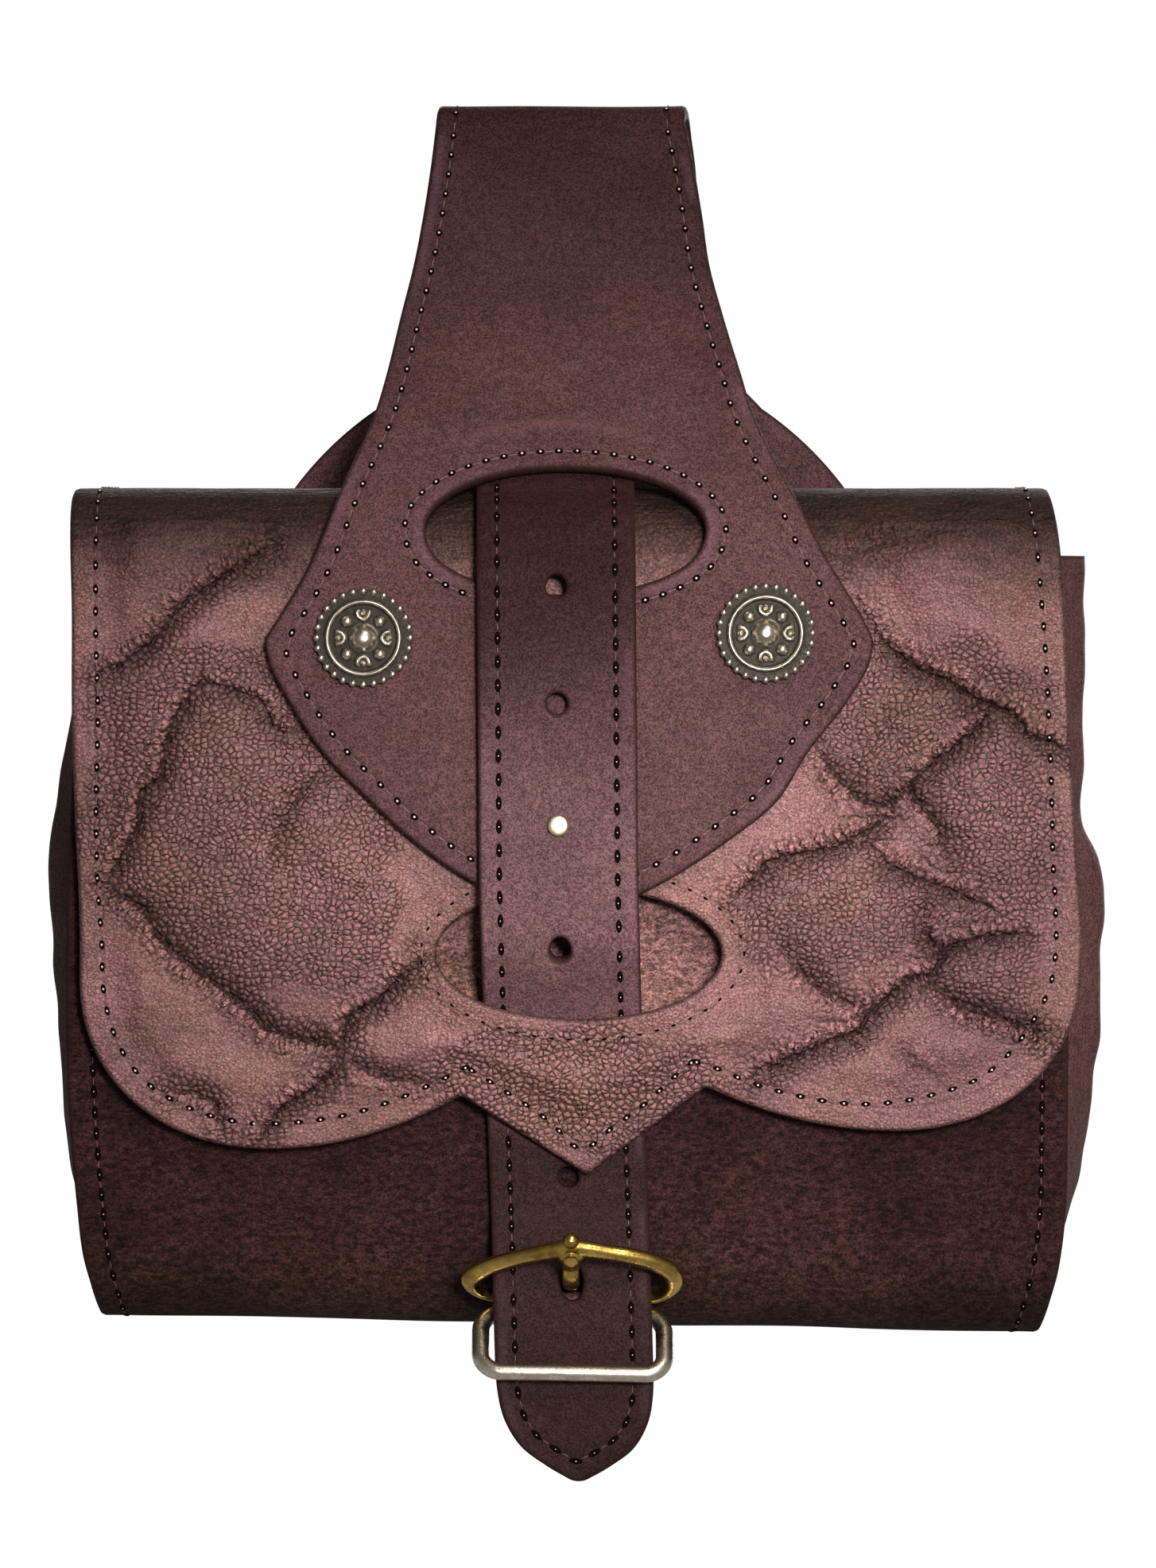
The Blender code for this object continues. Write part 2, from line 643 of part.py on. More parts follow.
def make_flap():
    bend = flap_bend()
    loops = [flap_outline(bend), slot_in(bend, LOWER_SLOT, 28)]
    leather("flap", bend, POUCH_HIDE, loops, "creased leather", cell=6.6, relief=flap_relief)


def make_body_front():
    bend = panel_bend()
    heights = [(bend.length - (MOUTH - z), left, right) for z, left, right in PANEL_EDGES]
    low = bend.length - (MOUTH - POUCH_BOTTOM) + BOTTOM_BEND / 2
    rows = [(0.0, *PANEL_BOTTOM_EDGES), (low, *PANEL_BOTTOM_EDGES)] + heights[::-1]
    rows.append((bend.length, *PANEL_TOP_EDGES))
    outline = [(right, s) for s, _, right in rows] + [(left, s) for s, left, _ in rows[::-1]]
    leather("body_front", bend, POUCH_HIDE, [outline], "dark suede", cell=10.0)


def panel_edge(z, column):
    """The front panel's left (1) or right (2) edge at a height."""
    rows = ((MOUTH, *PANEL_TOP_EDGES), *PANEL_EDGES, (POUCH_BOTTOM, *PANEL_BOTTOM_EDGES))
    return abs(read_table(rows, z, column))


def gusset_row(z, edge, reach):
    """The gusset's outer face at one height, from its front flange round to its back flange."""
    radius = BOTTOM_BEND - POUCH_HIDE - GAP
    fall = max(POUCH_BOTTOM + BOTTOM_BEND - z, 0.0)
    inward = radius - math.sqrt(max(radius**2 - fall**2, 0.0))
    front = PANEL_IN + GAP + inward
    back = min(BACK_IN - GAP, BELT_HALF_DEPTH - GAP - inward)
    corner = edge - FLANGE_INSET
    middle = max(reach, corner + GUSSET_LEAST)
    line = Bend(
        (
            (corner - FLANGE, front, 0.0),
            (corner, front, GUSSET_BEND),
            (middle, (front + back) / 2, GUSSET_BELLY),
            (corner, back, GUSSET_BEND),
            (corner - FLANGE, back, 0.0),
        )
    )
    spots = []
    for (start, length, _, _, _), parts in zip(line.runs, (1, 2, 1, 3, 1, 2, 1)):
        spots += [start + length * i / parts for i in range(parts)]
    return [line.place(s) for s in spots + [line.length]]


def make_gusset(name, side, column):
    """One side gusset: rows of its outer face down to the pouch's bottom, thickened inward."""
    radius = BOTTOM_BEND - POUCH_HIDE - GAP
    bend_top = POUCH_BOTTOM + BOTTOM_BEND
    heights = list(np.linspace(GUSSET_TOP, bend_top, GUSSET_ROWS))
    heights += [bend_top - radius * math.sin(t) for t in np.linspace(0, math.pi / 2, 5)[1:]]
    build = bmesh.new()
    rows = []
    for z in heights:
        points = gusset_row(z, panel_edge(z, column), read_table(GUSSET_REACH, z, column))
        rows.append([build.verts.new(settle(side * x, y, z)) for x, y in points])
    for high, low in zip(rows, rows[1:]):
        for j in range(len(high) - 1):
            face = (high[j], low[j], low[j + 1], high[j + 1])
            build.faces.new(face if side > 0 else face[::-1])
    mesh = bpy.data.meshes.new(name)
    build.to_mesh(mesh)
    build.free()
    gusset = make_object(name, mesh, "smooth leather")
    wall = gusset.modifiers.new("wall", "SOLIDIFY")
    wall.thickness = GUSSET_HIDE * MM
    wall.offset = -1.0
    wall.use_even_offset = True


def strap_outline(bend):
    half = STRAP_WIDTH / 2
    rise = [(width, s) for s, width in STRAP_POINT] + [(half, STRAP_SHOULDER), (half, bend.length)]
    return rise + [(-x, s) for x, s in rise[::-1]]


def make_strap(leaf):
    bend = strap_bend(leaf)
    radius = STRAP_HOLE / 2
    holes = [dict(x=0.0, z=z, across=radius, up=radius) for z in STRAP_HOLES] + [PRONG_HOLE]
    loops = [strap_outline(bend)] + [slot_in(bend, hole, 8) for hole in holes]
    leather("strap", bend, LOOP_HIDE, loops, "smooth leather", cell=7.5, lean=STRAP_MIDDLE)


def make_billet():
    bend = billet_bend()
    half = BILLET_HALF_WIDTH
    outline = [(x + BUCKLE_X, s) for x, s in ((-half, 0), (half, 0), (half, bend.length), (-half, bend.length))]
    low = bend.at_height(PIVOT[1] + BILLET_SLOT[0])
    high = bend.at_height(PIVOT[1] + BILLET_SLOT[1], front=False)
    room = PRONG_HALF_WIDTH + 2 * GAP
    slot = [(x + BUCKLE_X, s) for x, s in ((-room, low), (room, low), (room, high), (-room, high))]
    leather("buckle_billet", bend, BILLET_HIDE, [outline, slot], "smooth leather", cell=6.0)


def round_section(radius_at, sides=TUBE_SIDES):
    def section(i):
        turns = [2 * math.pi * (j + 0.5) / sides for j in range(sides)]
        return [(radius_at(i) * math.cos(t), radius_at(i) * math.sin(t)) for t in turns]

    return section


def make_buckle_frame():
    """The brass frame: a low arch over the strap with a knob on top, closed by the pivot bar."""
    up = Vector((0.0, -math.sin(FRAME_LEAN), math.cos(FRAME_LEAN)))
    across = Vector((1.0, 0.0, 0.0))
    base = Vector((FRAME_X, *PIVOT))
    line = [base + across * x + up * rise for x, rise in FRAME_LINE]
    radii = {0.0: PIVOT_RADIUS, FRAME_PEAK: KNOB_RADIUS}
    section = round_section(lambda i: radii.get(FRAME_LINE[i][1], BAR_RADIUS))
    sweep("buckle_frame", line, across.cross(up), section, "antique brass", closed=True)


def make_keeper_ring():
    """The rounded ring: its upper bar lies in the billet, its lower bar over the strap."""
    down = Vector((0.0, -math.sin(RING_LEAN), -math.cos(RING_LEAN)))
    across = Vector((1.0, 0.0, 0.0))
    base = Vector((BUCKLE_X, *RING_BAR))
    corners = (
        (RING_HALF_WIDTH - RING_CORNER, RING_CORNER),
        (RING_HALF_WIDTH - RING_CORNER, RING_LENGTH - RING_CORNER),
        (RING_CORNER - RING_HALF_WIDTH, RING_LENGTH - RING_CORNER),
        (RING_CORNER - RING_HALF_WIDTH, RING_CORNER),
    )
    line = []
    for quarter, (x, t) in enumerate(corners):
        for turn in np.radians(np.linspace(-90, 0, 5) + 90 * quarter):
            reach = Vector((math.cos(turn), math.sin(turn))) * RING_CORNER
            line.append(base + across * (x + reach.x) + down * (t + reach.y))
    section = round_section(lambda i: BAR_RADIUS)
    sweep("keeper_ring", line, across.cross(down), section, "nickel", closed=True)


def make_prong():
    """The prong: hooked over the pivot bar, out through the strap's hole and up onto the frame."""
    x = FRAME_X
    hub = PIVOT_RADIUS + GAP + PRONG_HALF_THICK
    turns = np.radians(np.linspace(*PRONG_HOOK, 7))
    line = [Vector((x, PIVOT[0] + hub * math.cos(t), PIVOT[1] + hub * math.sin(t))) for t in turns]
    line += [Vector((x, *point)) for point in PRONG_LINE]
    rise = Vector((0.0, -math.sin(FRAME_LEAN), math.cos(FRAME_LEAN)))
    over = Vector((0.0, -math.cos(FRAME_LEAN), -math.sin(FRAME_LEAN)))
    seat = Vector((x, *PIVOT)) + rise * FRAME_PEAK + over * (KNOB_RADIUS + GAP + PRONG_HALF_THICK)
    line += [seat - rise * PRONG_REST, seat]
    sizes = [1.0] * (len(line) - 1) + [PRONG_END]

    def section(i):
        turns = [2 * math.pi * (j + 0.5) / TUBE_SIDES for j in range(TUBE_SIDES)]
        wide, thick = PRONG_HALF_WIDTH * sizes[i], PRONG_HALF_THICK * sizes[i]
        return [(thick * math.cos(t), wide * math.sin(t)) for t in turns]

    sweep("buckle_prong", line, Vector((1.0, 0.0, 0.0)), section, "antique brass", closed=False)


def make_concho(name, x, z):
    """A cast disc with a beaded rim, a raised ring, eight small studs and a dome, on the leaf."""
    base = LEAF_OUT - GAP
    spokes = 2 * CONCHO_BEADS
    build = bmesh.new()

    def ring(radius, height_at):
        made = []
        for i in range(spokes):
            turn = 2 * math.pi * i / spokes
            at = settle(x + radius * math.cos(turn), base - height_at(i), z + radius * math.sin(turn))
            made.append(build.verts.new(at))
        return made

    def height(i, row):
        radius, low, beads = row
        rise = beads if i % 2 == 0 else 0.0
        if radius == STUD_RING and i % (spokes // STUDS) == 0:
            rise = STUD_RISE
        return low + rise

    rings = [ring(CONCHO_RINGS[0][0], lambda i: 0.0)]
    rings += [ring(row[0], lambda i, row=row: height(i, row)) for row in CONCHO_RINGS]
    for outer, inner in zip(rings, rings[1:]):
        for i in range(spokes):
            j = (i + 1) % spokes
            build.faces.new((outer[i], outer[j], inner[j], inner[i]))
    build.faces.new(rings[0][::-1])
    build.faces.new(rings[-1])
    bmesh.ops.recalc_face_normals(build, faces=build.faces)
    mesh = bpy.data.meshes.new(name)
    build.to_mesh(mesh)
    build.free()
    make_object(name, mesh, "antique silver")


def make_rivet():
    """The flat rivet through the strap, seen as its head."""
    x = read_table(STRAP_MIDDLE, RIVET["z"])
    base = STRAP_IN - LOOP_HIDE - GAP
    steps = ((0.0, 1.0), (0.5, 1.0), (RIVET["height"], 0.72))
    line = [Vector((x, base - rise, RIVET["z"])) for rise, _ in steps]
    turns = [2 * math.pi * j / 12 for j in range(12)]

    def section(i):
        radius = RIVET["radius"] * steps[i][1]
        return [(radius * math.cos(t), radius * math.sin(t)) for t in turns]

    sweep("strap_rivet", line, Vector((1.0, 0.0, 0.0)), section, "cream brass", closed=False)


def main():
    clear_scene()
    leaf = loop_bend()
    make_belt_loop(leaf)
    make_flap()
    make_body_front()
    make_gusset("gusset_left", -1, 1)
    make_gusset("gusset_right", 1, 2)
    make_strap(leaf)
    make_billet()
    make_buckle_frame()
    make_keeper_ring()
    make_prong()
    for name, x, z in CONCHOS:
        make_concho(name, x, z)
    make_rivet()


main()
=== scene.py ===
"""The looks of a medieval belt pouch, built round its packed part.

It is laid out as an add-on: settings, one operator for each group of pieces and one for the stage, a
panel, and main at the end. Each leather piece is cut flat again, finer than in the part, in x across
and s along its bend, and then bent the same way. Sizes are millimetres until a mesh is written, and
heights are measured from a line LOOP_TOP below the origin, as in the part's source.
"""

import math

import bpy
import numpy as np
from bpy.props import FloatProperty, FloatVectorProperty, IntProperty, PointerProperty
from bpy.types import Operator, Panel, PropertyGroup
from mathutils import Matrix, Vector, noise
from mathutils.geometry import delaunay_2d_cdt
from mathutils.kdtree import KDTree


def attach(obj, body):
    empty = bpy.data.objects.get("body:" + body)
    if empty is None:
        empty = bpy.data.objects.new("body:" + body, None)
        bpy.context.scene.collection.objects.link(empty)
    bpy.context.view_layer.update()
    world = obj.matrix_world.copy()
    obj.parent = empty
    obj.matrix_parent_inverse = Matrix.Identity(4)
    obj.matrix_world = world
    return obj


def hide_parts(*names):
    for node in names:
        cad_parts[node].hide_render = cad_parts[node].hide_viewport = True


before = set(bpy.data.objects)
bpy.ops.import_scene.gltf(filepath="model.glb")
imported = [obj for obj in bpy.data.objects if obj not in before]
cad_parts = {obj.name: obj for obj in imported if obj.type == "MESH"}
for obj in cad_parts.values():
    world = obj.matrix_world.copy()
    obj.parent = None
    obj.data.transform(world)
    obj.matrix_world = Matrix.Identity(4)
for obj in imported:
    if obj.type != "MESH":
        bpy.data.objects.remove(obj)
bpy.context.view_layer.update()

bl_info = {
    "name": "Medieval belt pouch",
    "version": (1, 0, 0),
    "blender": (4, 5, 0),
    "location": "3D View > Sidebar > Pouch",
    "description": "Builds the leather, stitching and metalwork of a belt pouch round its packed part",
    "category": "Object",
}

MM = 0.001
SENSOR = 36.0
WHITE = (1.0, 1.0, 1.0, 1.0)
BODY = "root"

# Thicknesses and depths, as in the part.
GAP = 0.3
LOOP_HIDE = 3.0
POUCH_HIDE = 2.5
GUSSET_HIDE = 2.0
BILLET_HIDE = 2.0
BELT_HALF_DEPTH = 4.0
BACK_IN = BELT_HALF_DEPTH - GAP - POUCH_HIDE
PANEL_IN = -38.0
PANEL_OUT = PANEL_IN - POUCH_HIDE
FLAP_IN = PANEL_OUT - LOOP_HIDE - 2 * GAP
FLAP_OUT = FLAP_IN - POUCH_HIDE
LEAF_IN = FLAP_OUT - GAP
LEAF_OUT = LEAF_IN - LOOP_HIDE
STRAP_IN = LEAF_OUT - GAP

LOOP_TOP = 2.35
FLAP_TOP = -69.0
FRONT_SHOULDER = 17.0
BACK_SHOULDER = 12.0
MOUTH = -86.0
POUCH_BOTTOM = -229.2
BOTTOM_BEND = 15.0
TURN_UP = -204.0
FLAP_BACK_END = -213.0
SWELL = 6.0
SWELL_TOP = -80.0
SWELL_BOTTOM = -218.0
SWELL_SPAN = 204.0
BOTTOM_SLOPE = 0.019
SLOPE_FROM = -196.0

LOOP_FRONT = (
    # z, left, right
    (-148.0, -7.5, 7.5),
    (-143.6, -17.5, 17.0),
    (-135.5, -29.4, 29.8),
    (-127.5, -38.1, 39.6),
    (-119.3, -46.2, 44.7),
    (-109.2, -53.0, 52.5),
    (-101.1, -56.9, 56.9),
    (-97.7, -57.4, 57.3),
    (-94.8, -55.7, 56.1),
    (-87.2, -51.0, 51.6),
    (-77.6, -46.2, 45.8),
    (-69.5, -42.9, 41.6),
    (-54.9, -36.7, 34.6),
    (-48.9, -35.0, 32.9),
    (-36.9, -32.2, 29.4),
    (-27.2, -29.9, 26.9),
    (-17.7, -28.2, 25.6),
    (-7.2, -26.7, 23.9),
    (1.0, -25.8, 22.3),
)
LOOP_TIP = -149.5
LOOP_BACK = ((-6.0, 24.5), (-24.0, 25.5), (-40.0, 28.5), (-46.0, 31.0))
PATCH = dict(x=0.0, z=-108.8, radius=66.9, neck=37.5)
UPPER_SLOT = dict(x=-0.75, z=-77.7, across=26.4, up=11.4)
LOWER_SLOT = dict(x=1.8, z=-156.8, across=26.9, up=12.2)
LEAF_LIFT = 3.0
# The strap's sewn end shows through the leaf.
IMPRINT = dict(x=-3.2, top=-58.2, half=15.8, drop=2.2, shoulder=7.0, width=0.85)

FLAP_LEFT = ((-162.0, -92.7), (-151.0, -92.7), (-130.0, -93.6), (-112.0, -94.1), (-91.0, -94.1))
FLAP_RIGHT = ((-160.0, 96.9), (-154.0, 97.2), (-146.0, 96.6), (-116.6, 94.8), (-97.4, 93.9), (-81.6, 92.9))
FLAP_TURN = FLAP_TOP - 8.0  # above this the flap has turned back, and it has no relief of its own
FLAP_TOP_EDGES = (-94.6, 91.6)
FLAP_BACK_EDGES = (-90.5, 90.5)
LEFT_LOBE = dict(x=-56.6, z=-194.1)
RIGHT_LOBE = dict(x=61.7, z=-190.7)
LEFT_NOTCH = dict(x=-20.4, z=-183.8)
RIGHT_NOTCH = dict(x=25.8, z=-182.1)
FLAP_TIP = dict(x=3.4, z=-199.0)
LOBE_FULLNESS = 0.94
PUFF = 2.2
PRESSED = 6.0
PUFF_RUN = 7.0
LIP = dict(height=4.6, top=-151.0, full=-163.0, end=-190.0, flat=18.0, reach=36.0)

# The flap's creases as seen from the front: width of the valley, side of the raised rope (1 is on the
# left of its way), depth of the sharp middle, and points (x, z).
CREASES = (
    (5.0, -1, 1.0, ((-86.8, -144.9), (-80.7, -148.7), (-76.5, -155.1), (-71.5, -159.2), (-66.3, -163.0),
                   (-60.9, -167.4), (-55.5, -171.9), (-50.2, -173.2), (-44.9, -174.3), (-42.9, -175.9))),
    (4.5, 1, 1.0, ((-42.9, -175.9), (-42.8, -171.8), (-39.4, -167.4), (-35.7, -165.3), (-32.5, -162.0),
                   (-28.2, -157.8))),
    (4.5, -1, 1.0, ((-42.9, -175.9), (-45.3, -179.2), (-48.0, -182.4), (-52.4, -185.1), (-55.5, -187.2),
                    (-58.6, -192.9))),
    (3.0, -1, 0.7, ((-42.9, -175.9), (-37.8, -179.2), (-34.0, -180.3), (-26.1, -181.3))),
    (3.0, -1, 0.8, ((-77.0, -183.0), (-71.5, -183.4), (-67.3, -185.5), (-66.3, -188.2), (-65.2, -191.5))),
    (5.0, -1, 1.0, ((-69.8, -106.0), (-74.0, -111.8), (-75.9, -116.5), (-77.4, -123.8), (-80.8, -126.6),
                    (-81.3, -130.8), (-82.3, -134.7), (-85.2, -139.5), (-86.8, -144.9))),
    (4.5, 1, 0.7, ((-69.8, -106.0), (-63.9, -107.1), (-57.8, -109.8), (-55.4, -114.6), (-49.6, -114.3))),
    (3.0, -1, 0.6, ((-46.2, -121.8), (-50.1, -125.5), (-52.5, -129.4), (-54.4, -133.2), (-56.2, -137.5))),
    (5.0, -1, 0.9, ((-56.2, -80.7), (-60.1, -83.1), (-65.0, -85.5), (-69.8, -88.8), (-73.5, -91.6),
                    (-79.2, -98.4), (-84.0, -102.1), (-88.8, -104.1))),
    (5.5, 1, 1.0, ((56.1, -92.5), (58.5, -96.9), (66.1, -103.2), (71.8, -105.5), (77.5, -109.3),
                   (80.4, -110.2), (84.3, -112.2), (86.7, -115.5), (91.0, -117.0), (94.6, -118.9))),
    (5.0, -1, 1.0, ((80.4, -110.2), (76.6, -115.0), (71.8, -118.9), (67.0, -122.7), (64.6, -125.5),
                   (67.0, -129.4), (69.9, -133.2), (71.4, -138.4))),
    (4.0, -1, 0.9, ((46.9, -118.3), (49.4, -121.8), (52.8, -125.5), (55.2, -127.9), (60.4, -128.4),
                    (64.6, -125.5))),
    (4.5, -1, 0.9, ((60.4, -128.4), (58.9, -131.4), (54.6, -134.7), (48.1, -137.4), (42.3, -138.4),
                    (36.9, -140.1), (34.8, -142.8), (31.5, -145.9))),
    (4.5, 1, 0.8, ((56.7, -136.8), (62.1, -141.2), (67.5, -143.2), (72.8, -145.5), (78.8, -148.0))),
    (4.5, 1, 0.9, ((67.5, -149.2), (67.5, -153.0), (69.0, -155.5), (74.0, -155.1), (78.1, -154.0),
                   (83.5, -153.4), (86.2, -153.4))),
    (5.0, -1, 1.0, ((74.0, -156.2), (70.2, -158.2), (68.5, -160.9), (63.8, -162.0), (61.0, -164.7),
                   (56.7, -168.4), (54.6, -171.8), (48.8, -173.8), (42.3, -176.5), (35.2, -179.7))),
    (4.5, -1, 1.0, ((69.0, -163.0), (74.0, -166.8), (78.1, -168.0), (83.5, -170.1), (87.8, -171.2),
                   (91.5, -174.3))),
    (3.0, -1, 0.7, ((40.6, -156.2), (44.4, -160.9), (48.8, -164.7), (52.5, -166.3), (56.7, -166.8))),
    (3.0, 1, 0.5, ((63.1, -175.5), (65.2, -178.0), (69.0, -179.7))),
    (3.5, 1, 0.5, ((48.9, -84.9), (54.1, -82.5), (60.4, -80.7), (67.0, -79.6))),
)
# Where the pebbled grain shows most: x, z, half sizes, amount.
PEBBLED = (
    (-62.0, -128.0, 34.0, 32.0, 1.0),
    (-52.0, -150.0, 24.0, 16.0, 1.0),
    (-70.0, -112.0, 26.0, 14.0, 0.8),
    (70.0, -112.0, 30.0, 18.0, 0.7),
    (48.0, -150.0, 26.0, 16.0, 0.6),
    (80.0, -140.0, 18.0, 34.0, 0.6),
    (0.0, -182.0, 34.0, 14.0, 0.8),
    (0.0, -76.0, 110.0, 12.0, 0.35),
)

# The flap's seam as seen from the front, in three runs that meet in the notches.
FLAP_SEAMS = (
    ((-89.5, -83.1), (-89.5, -95.0), (-89.1, -111.8), (-89.5, -129.9), (-89.2, -143.2), (-88.5, -154.0),
     (-87.8, -166.3), (-85.5, -173.8), (-80.2, -181.3), (-72.8, -185.8), (-66.3, -188.1), (-59.2, -189.2),
     (-50.2, -188.8), (-42.1, -187.5), (-34.0, -185.0), (-26.1, -181.6), (-19.6, -178.3)),
    ((-18.4, -178.8), (-11.8, -183.0), (-3.9, -188.5), (3.0, -194.0), (6.6, -191.1), (13.8, -185.7),
     (20.2, -179.7), (23.0, -177.3)),
    ((24.0, -177.2), (27.3, -178.3), (35.4, -181.7), (43.9, -184.0), (52.9, -185.4), (61.8, -185.1),
     (69.9, -183.4), (78.1, -180.3), (81.9, -177.3), (87.3, -170.4), (89.7, -166.3), (91.3, -162.0),
     (92.0, -156.8), (92.0, -148.7), (91.5, -139.5), (91.3, -129.9), (90.6, -111.8), (89.8, -97.3),
     (88.6, -83.1)),
)
FLAP_SEAM_TOPS = (-89.5, 87.0)
FLAP_SEAM_BACKS = (-86.3, 86.3)

PANEL_EDGES = ((-195.0, -94.7, 94.8), (-205.0, -93.8, 94.6), (-216.0, -92.6, 93.2))
PANEL_TOP_EDGES = (-93.0, 93.0)
PANEL_BOTTOM_EDGES = (-91.3, 91.7)
PANEL_SEAM_INSET = 5.0

GUSSET_TOP = -82.0
FLANGE = 8.0
FLANGE_INSET = 1.0
GUSSET_BEND = 2.8
GUSSET_BELLY = 14.0
GUSSET_LEAST = 0.2
GUSSET_REACH = (
    # z, left, right
    (-82.0, 95.0, 100.3),
    (-98.0, 94.6, 100.2),
    (-112.0, 96.2, 100.1),
    (-124.0, 98.6, 99.8),
    (-134.0, 100.9, 99.9),
    (-141.0, 101.8, 104.4),
    (-149.0, 101.4, 106.2),
    (-158.0, 100.6, 104.6),
    (-170.0, 99.2, 104.8),
    (-180.0, 98.1, 103.0),
    (-190.0, 97.9, 101.0),
    (-201.0, 96.0, 99.0),
    (-213.0, 92.8, 94.6),
    (-227.0, 90.8, 91.2),
)

STRAP_WIDTH = 30.0
STRAP_TOP = -59.0
STRAP_ENTRY = -70.0
STRAP_TIP = -257.0
STRAP_MIDDLE = ((-256.0, 1.7), (-234.0, 0.9), (-210.0, 0.2), (-166.0, -1.4), (-143.0, -2.0), (-60.0, -2.7))
STRAP_POINT = ((0.0, 0.6), (1.2, 3.2), (3.2, 6.5), (6.3, 10.5), (11.8, 13.7), (17.4, 14.8))
STRAP_SHOULDER = 21.0
STRAP_WAY = (
    ("bars", -3.0, STRAP_TIP, 0.0),
    ("bars", 0.0, -227.0, 25.0),
    ("bars", 0.0, -220.6, 6.0),
    ("panel", 0.0, -207.5, 12.0),
    ("panel", 0.0, -187.0, 20.0),
    ("panel", 4.0, -165.5, 20.0),
    ("leaf", 0.0, -154.0, 8.0),
    ("leaf", 0.0, -85.3, 8.0),
    ("leaf", -4.0, -77.2, 14.0),
)
STRAP_HOLES = (-87.6, -109.5, -155.0, -199.6)
STRAP_HOLE = 3.9
STRAP_SEAM_INSET = 3.9
PRONG_HOLE = dict(x=0.0, z=-219.6, across=2.2, up=3.0)
RIVET_Z = -132.3

BUCKLE_X = 0.6
PIVOT = (-43.0, -222.2)
RING_BAR = (-43.0, -225.9)
BAR_RADIUS = 1.65
PIVOT_RADIUS = 1.3
BILLET_HALF_WIDTH = 12.0
BILLET_TAIL = -8.0
BILLET_SLOT = (0.5, -2.6)
FRAME_X = 0.3
FRAME_LEAN = math.radians(52)
FRAME_PEAK = 18.7
FRAME_LINE = (
    # x, rise from the pivot bar, half width, half thickness
    (16.2, 0.0, 1.15, 1.2),
    (18.6, 2.4, 1.35, 1.4),
    (19.6, 5.6, 1.75, 1.6),
    (18.9, 8.8, 1.85, 1.65),
    (16.0, 11.6, 1.75, 1.6),
    (11.5, 13.9, 1.6, 1.55),
    (7.0, 15.2, 1.55, 1.5),
    (2.8, 16.2, 1.75, 1.55),
    (0.0, 16.6, 1.9, 1.6),
    (-2.8, 15.8, 1.75, 1.55),
    (-7.6, 14.0, 1.55, 1.5),
    (-12.4, 11.7, 1.6, 1.55),
    (-16.6, 8.8, 1.8, 1.6),
    (-19.2, 5.5, 1.75, 1.6),
    (-18.6, 2.4, 1.35, 1.4),
    (-16.2, 0.0, 1.15, 1.2),
    (-9.0, 0.0, 1.3, 1.3),
    (0.0, 0.0, 1.3, 1.3),
    (9.0, 0.0, 1.3, 1.3),
)
KNOB_RADIUS = 1.55
KNOB_RISE = 0.25
COLLAR_RISE = 15.4
COLLAR_PROFILE = ((3.1, 0.0), (2.6, 0.9), (1.6, 1.8), (1.0, 2.3), (0.9, 2.8))
RING_HALF_WIDTH = 17.4
RING_LENGTH = 13.6
RING_LEAN = math.radians(42)
RING_CORNER = 4.0
PRONG_HALF_WIDTH = 1.6
PRONG_HALF_THICK = 1.0
PRONG_HOOK = (-35.0, 90.0)
PRONG_LINE = ((-47.3, -219.9), (-50.6, -219.3), (-53.2, -217.8), (-54.7, -215.7))
PRONG_REST = 2.2
PRONG_POINT = 1.6  # length over which its end is rounded
PRONG_TAPER = 6.0

CONCHOS = (("concho_left", -38.8, -97.2), ("concho_right", 37.0, -96.3))
CONCHO_BEADS = 28
CONCHO_PROFILE = (
    # radius, height of the cast disc
    (0.0, 3.0),
    (0.8, 2.92),
    (1.5, 2.55),
    (2.0, 2.0),
    (2.35, 1.4),
    (2.6, 1.15),
    (3.0, 1.05),
    (6.2, 1.0),
    (6.5, 1.15),
    (6.7, 1.5),
    (6.85, 1.6),
    (7.0, 1.5),
    (7.2, 1.1),
    (7.6, 0.85),
    (8.0, 0.7),
    (8.15, 0.35),
    (9.1, 0.25),
)
CONCHO_DOMES = dict(ring=4.35, radius=1.05, height=0.95)  # four, on the diagonals
CONCHO_ARCS = dict(ring=4.2, shift=0.5, radius=1.15, height=0.6)  # four between them, each with a bud
CONCHO_BUD = dict(shift=0.55, height=0.65)
CONCHO_FLOOR = 1.0  # height of the disc between these marks
CONCHO_BEAD_RING = 8.8
CONCHO_BEAD = 0.72
RIVET_PROFILE = ((2.0, 0.0), (2.0, 0.45), (1.9, 0.65), (1.6, 0.82), (1.0, 0.9), (0.3, 0.92))


def scaled(colour, factor):
    return tuple(min(1.0, part * factor) for part in colour)


def srgb(*levels):
    """A colour given as 0 to 255, as the linear values that a shader takes."""
    shares = [level / 255 for level in levels]
    return tuple(c / 12.92 if c <= 0.04045 else ((c + 0.055) / 1.055) ** 2.4 for c in shares)


# Sizes of the meshes.
EDGE_STEP = 0.8  # between the points round slots and along narrow pieces
HOLE_STEP = 0.5
PATTERN_STEP = 1.0  # between the points of lines that are only measured from
BACK_CELL = 4.0
ROW_SHARE = 0.866  # height of a row of the grid's triangles, for a cell of 1
BAR_SIDES = 20
GUSSET_ROWS = 110
GUSSET_BOTTOM_ROWS = 14
GUSSET_SPOTS = 56
DISC_SPOKES = 168
DISC_STEPS = 46

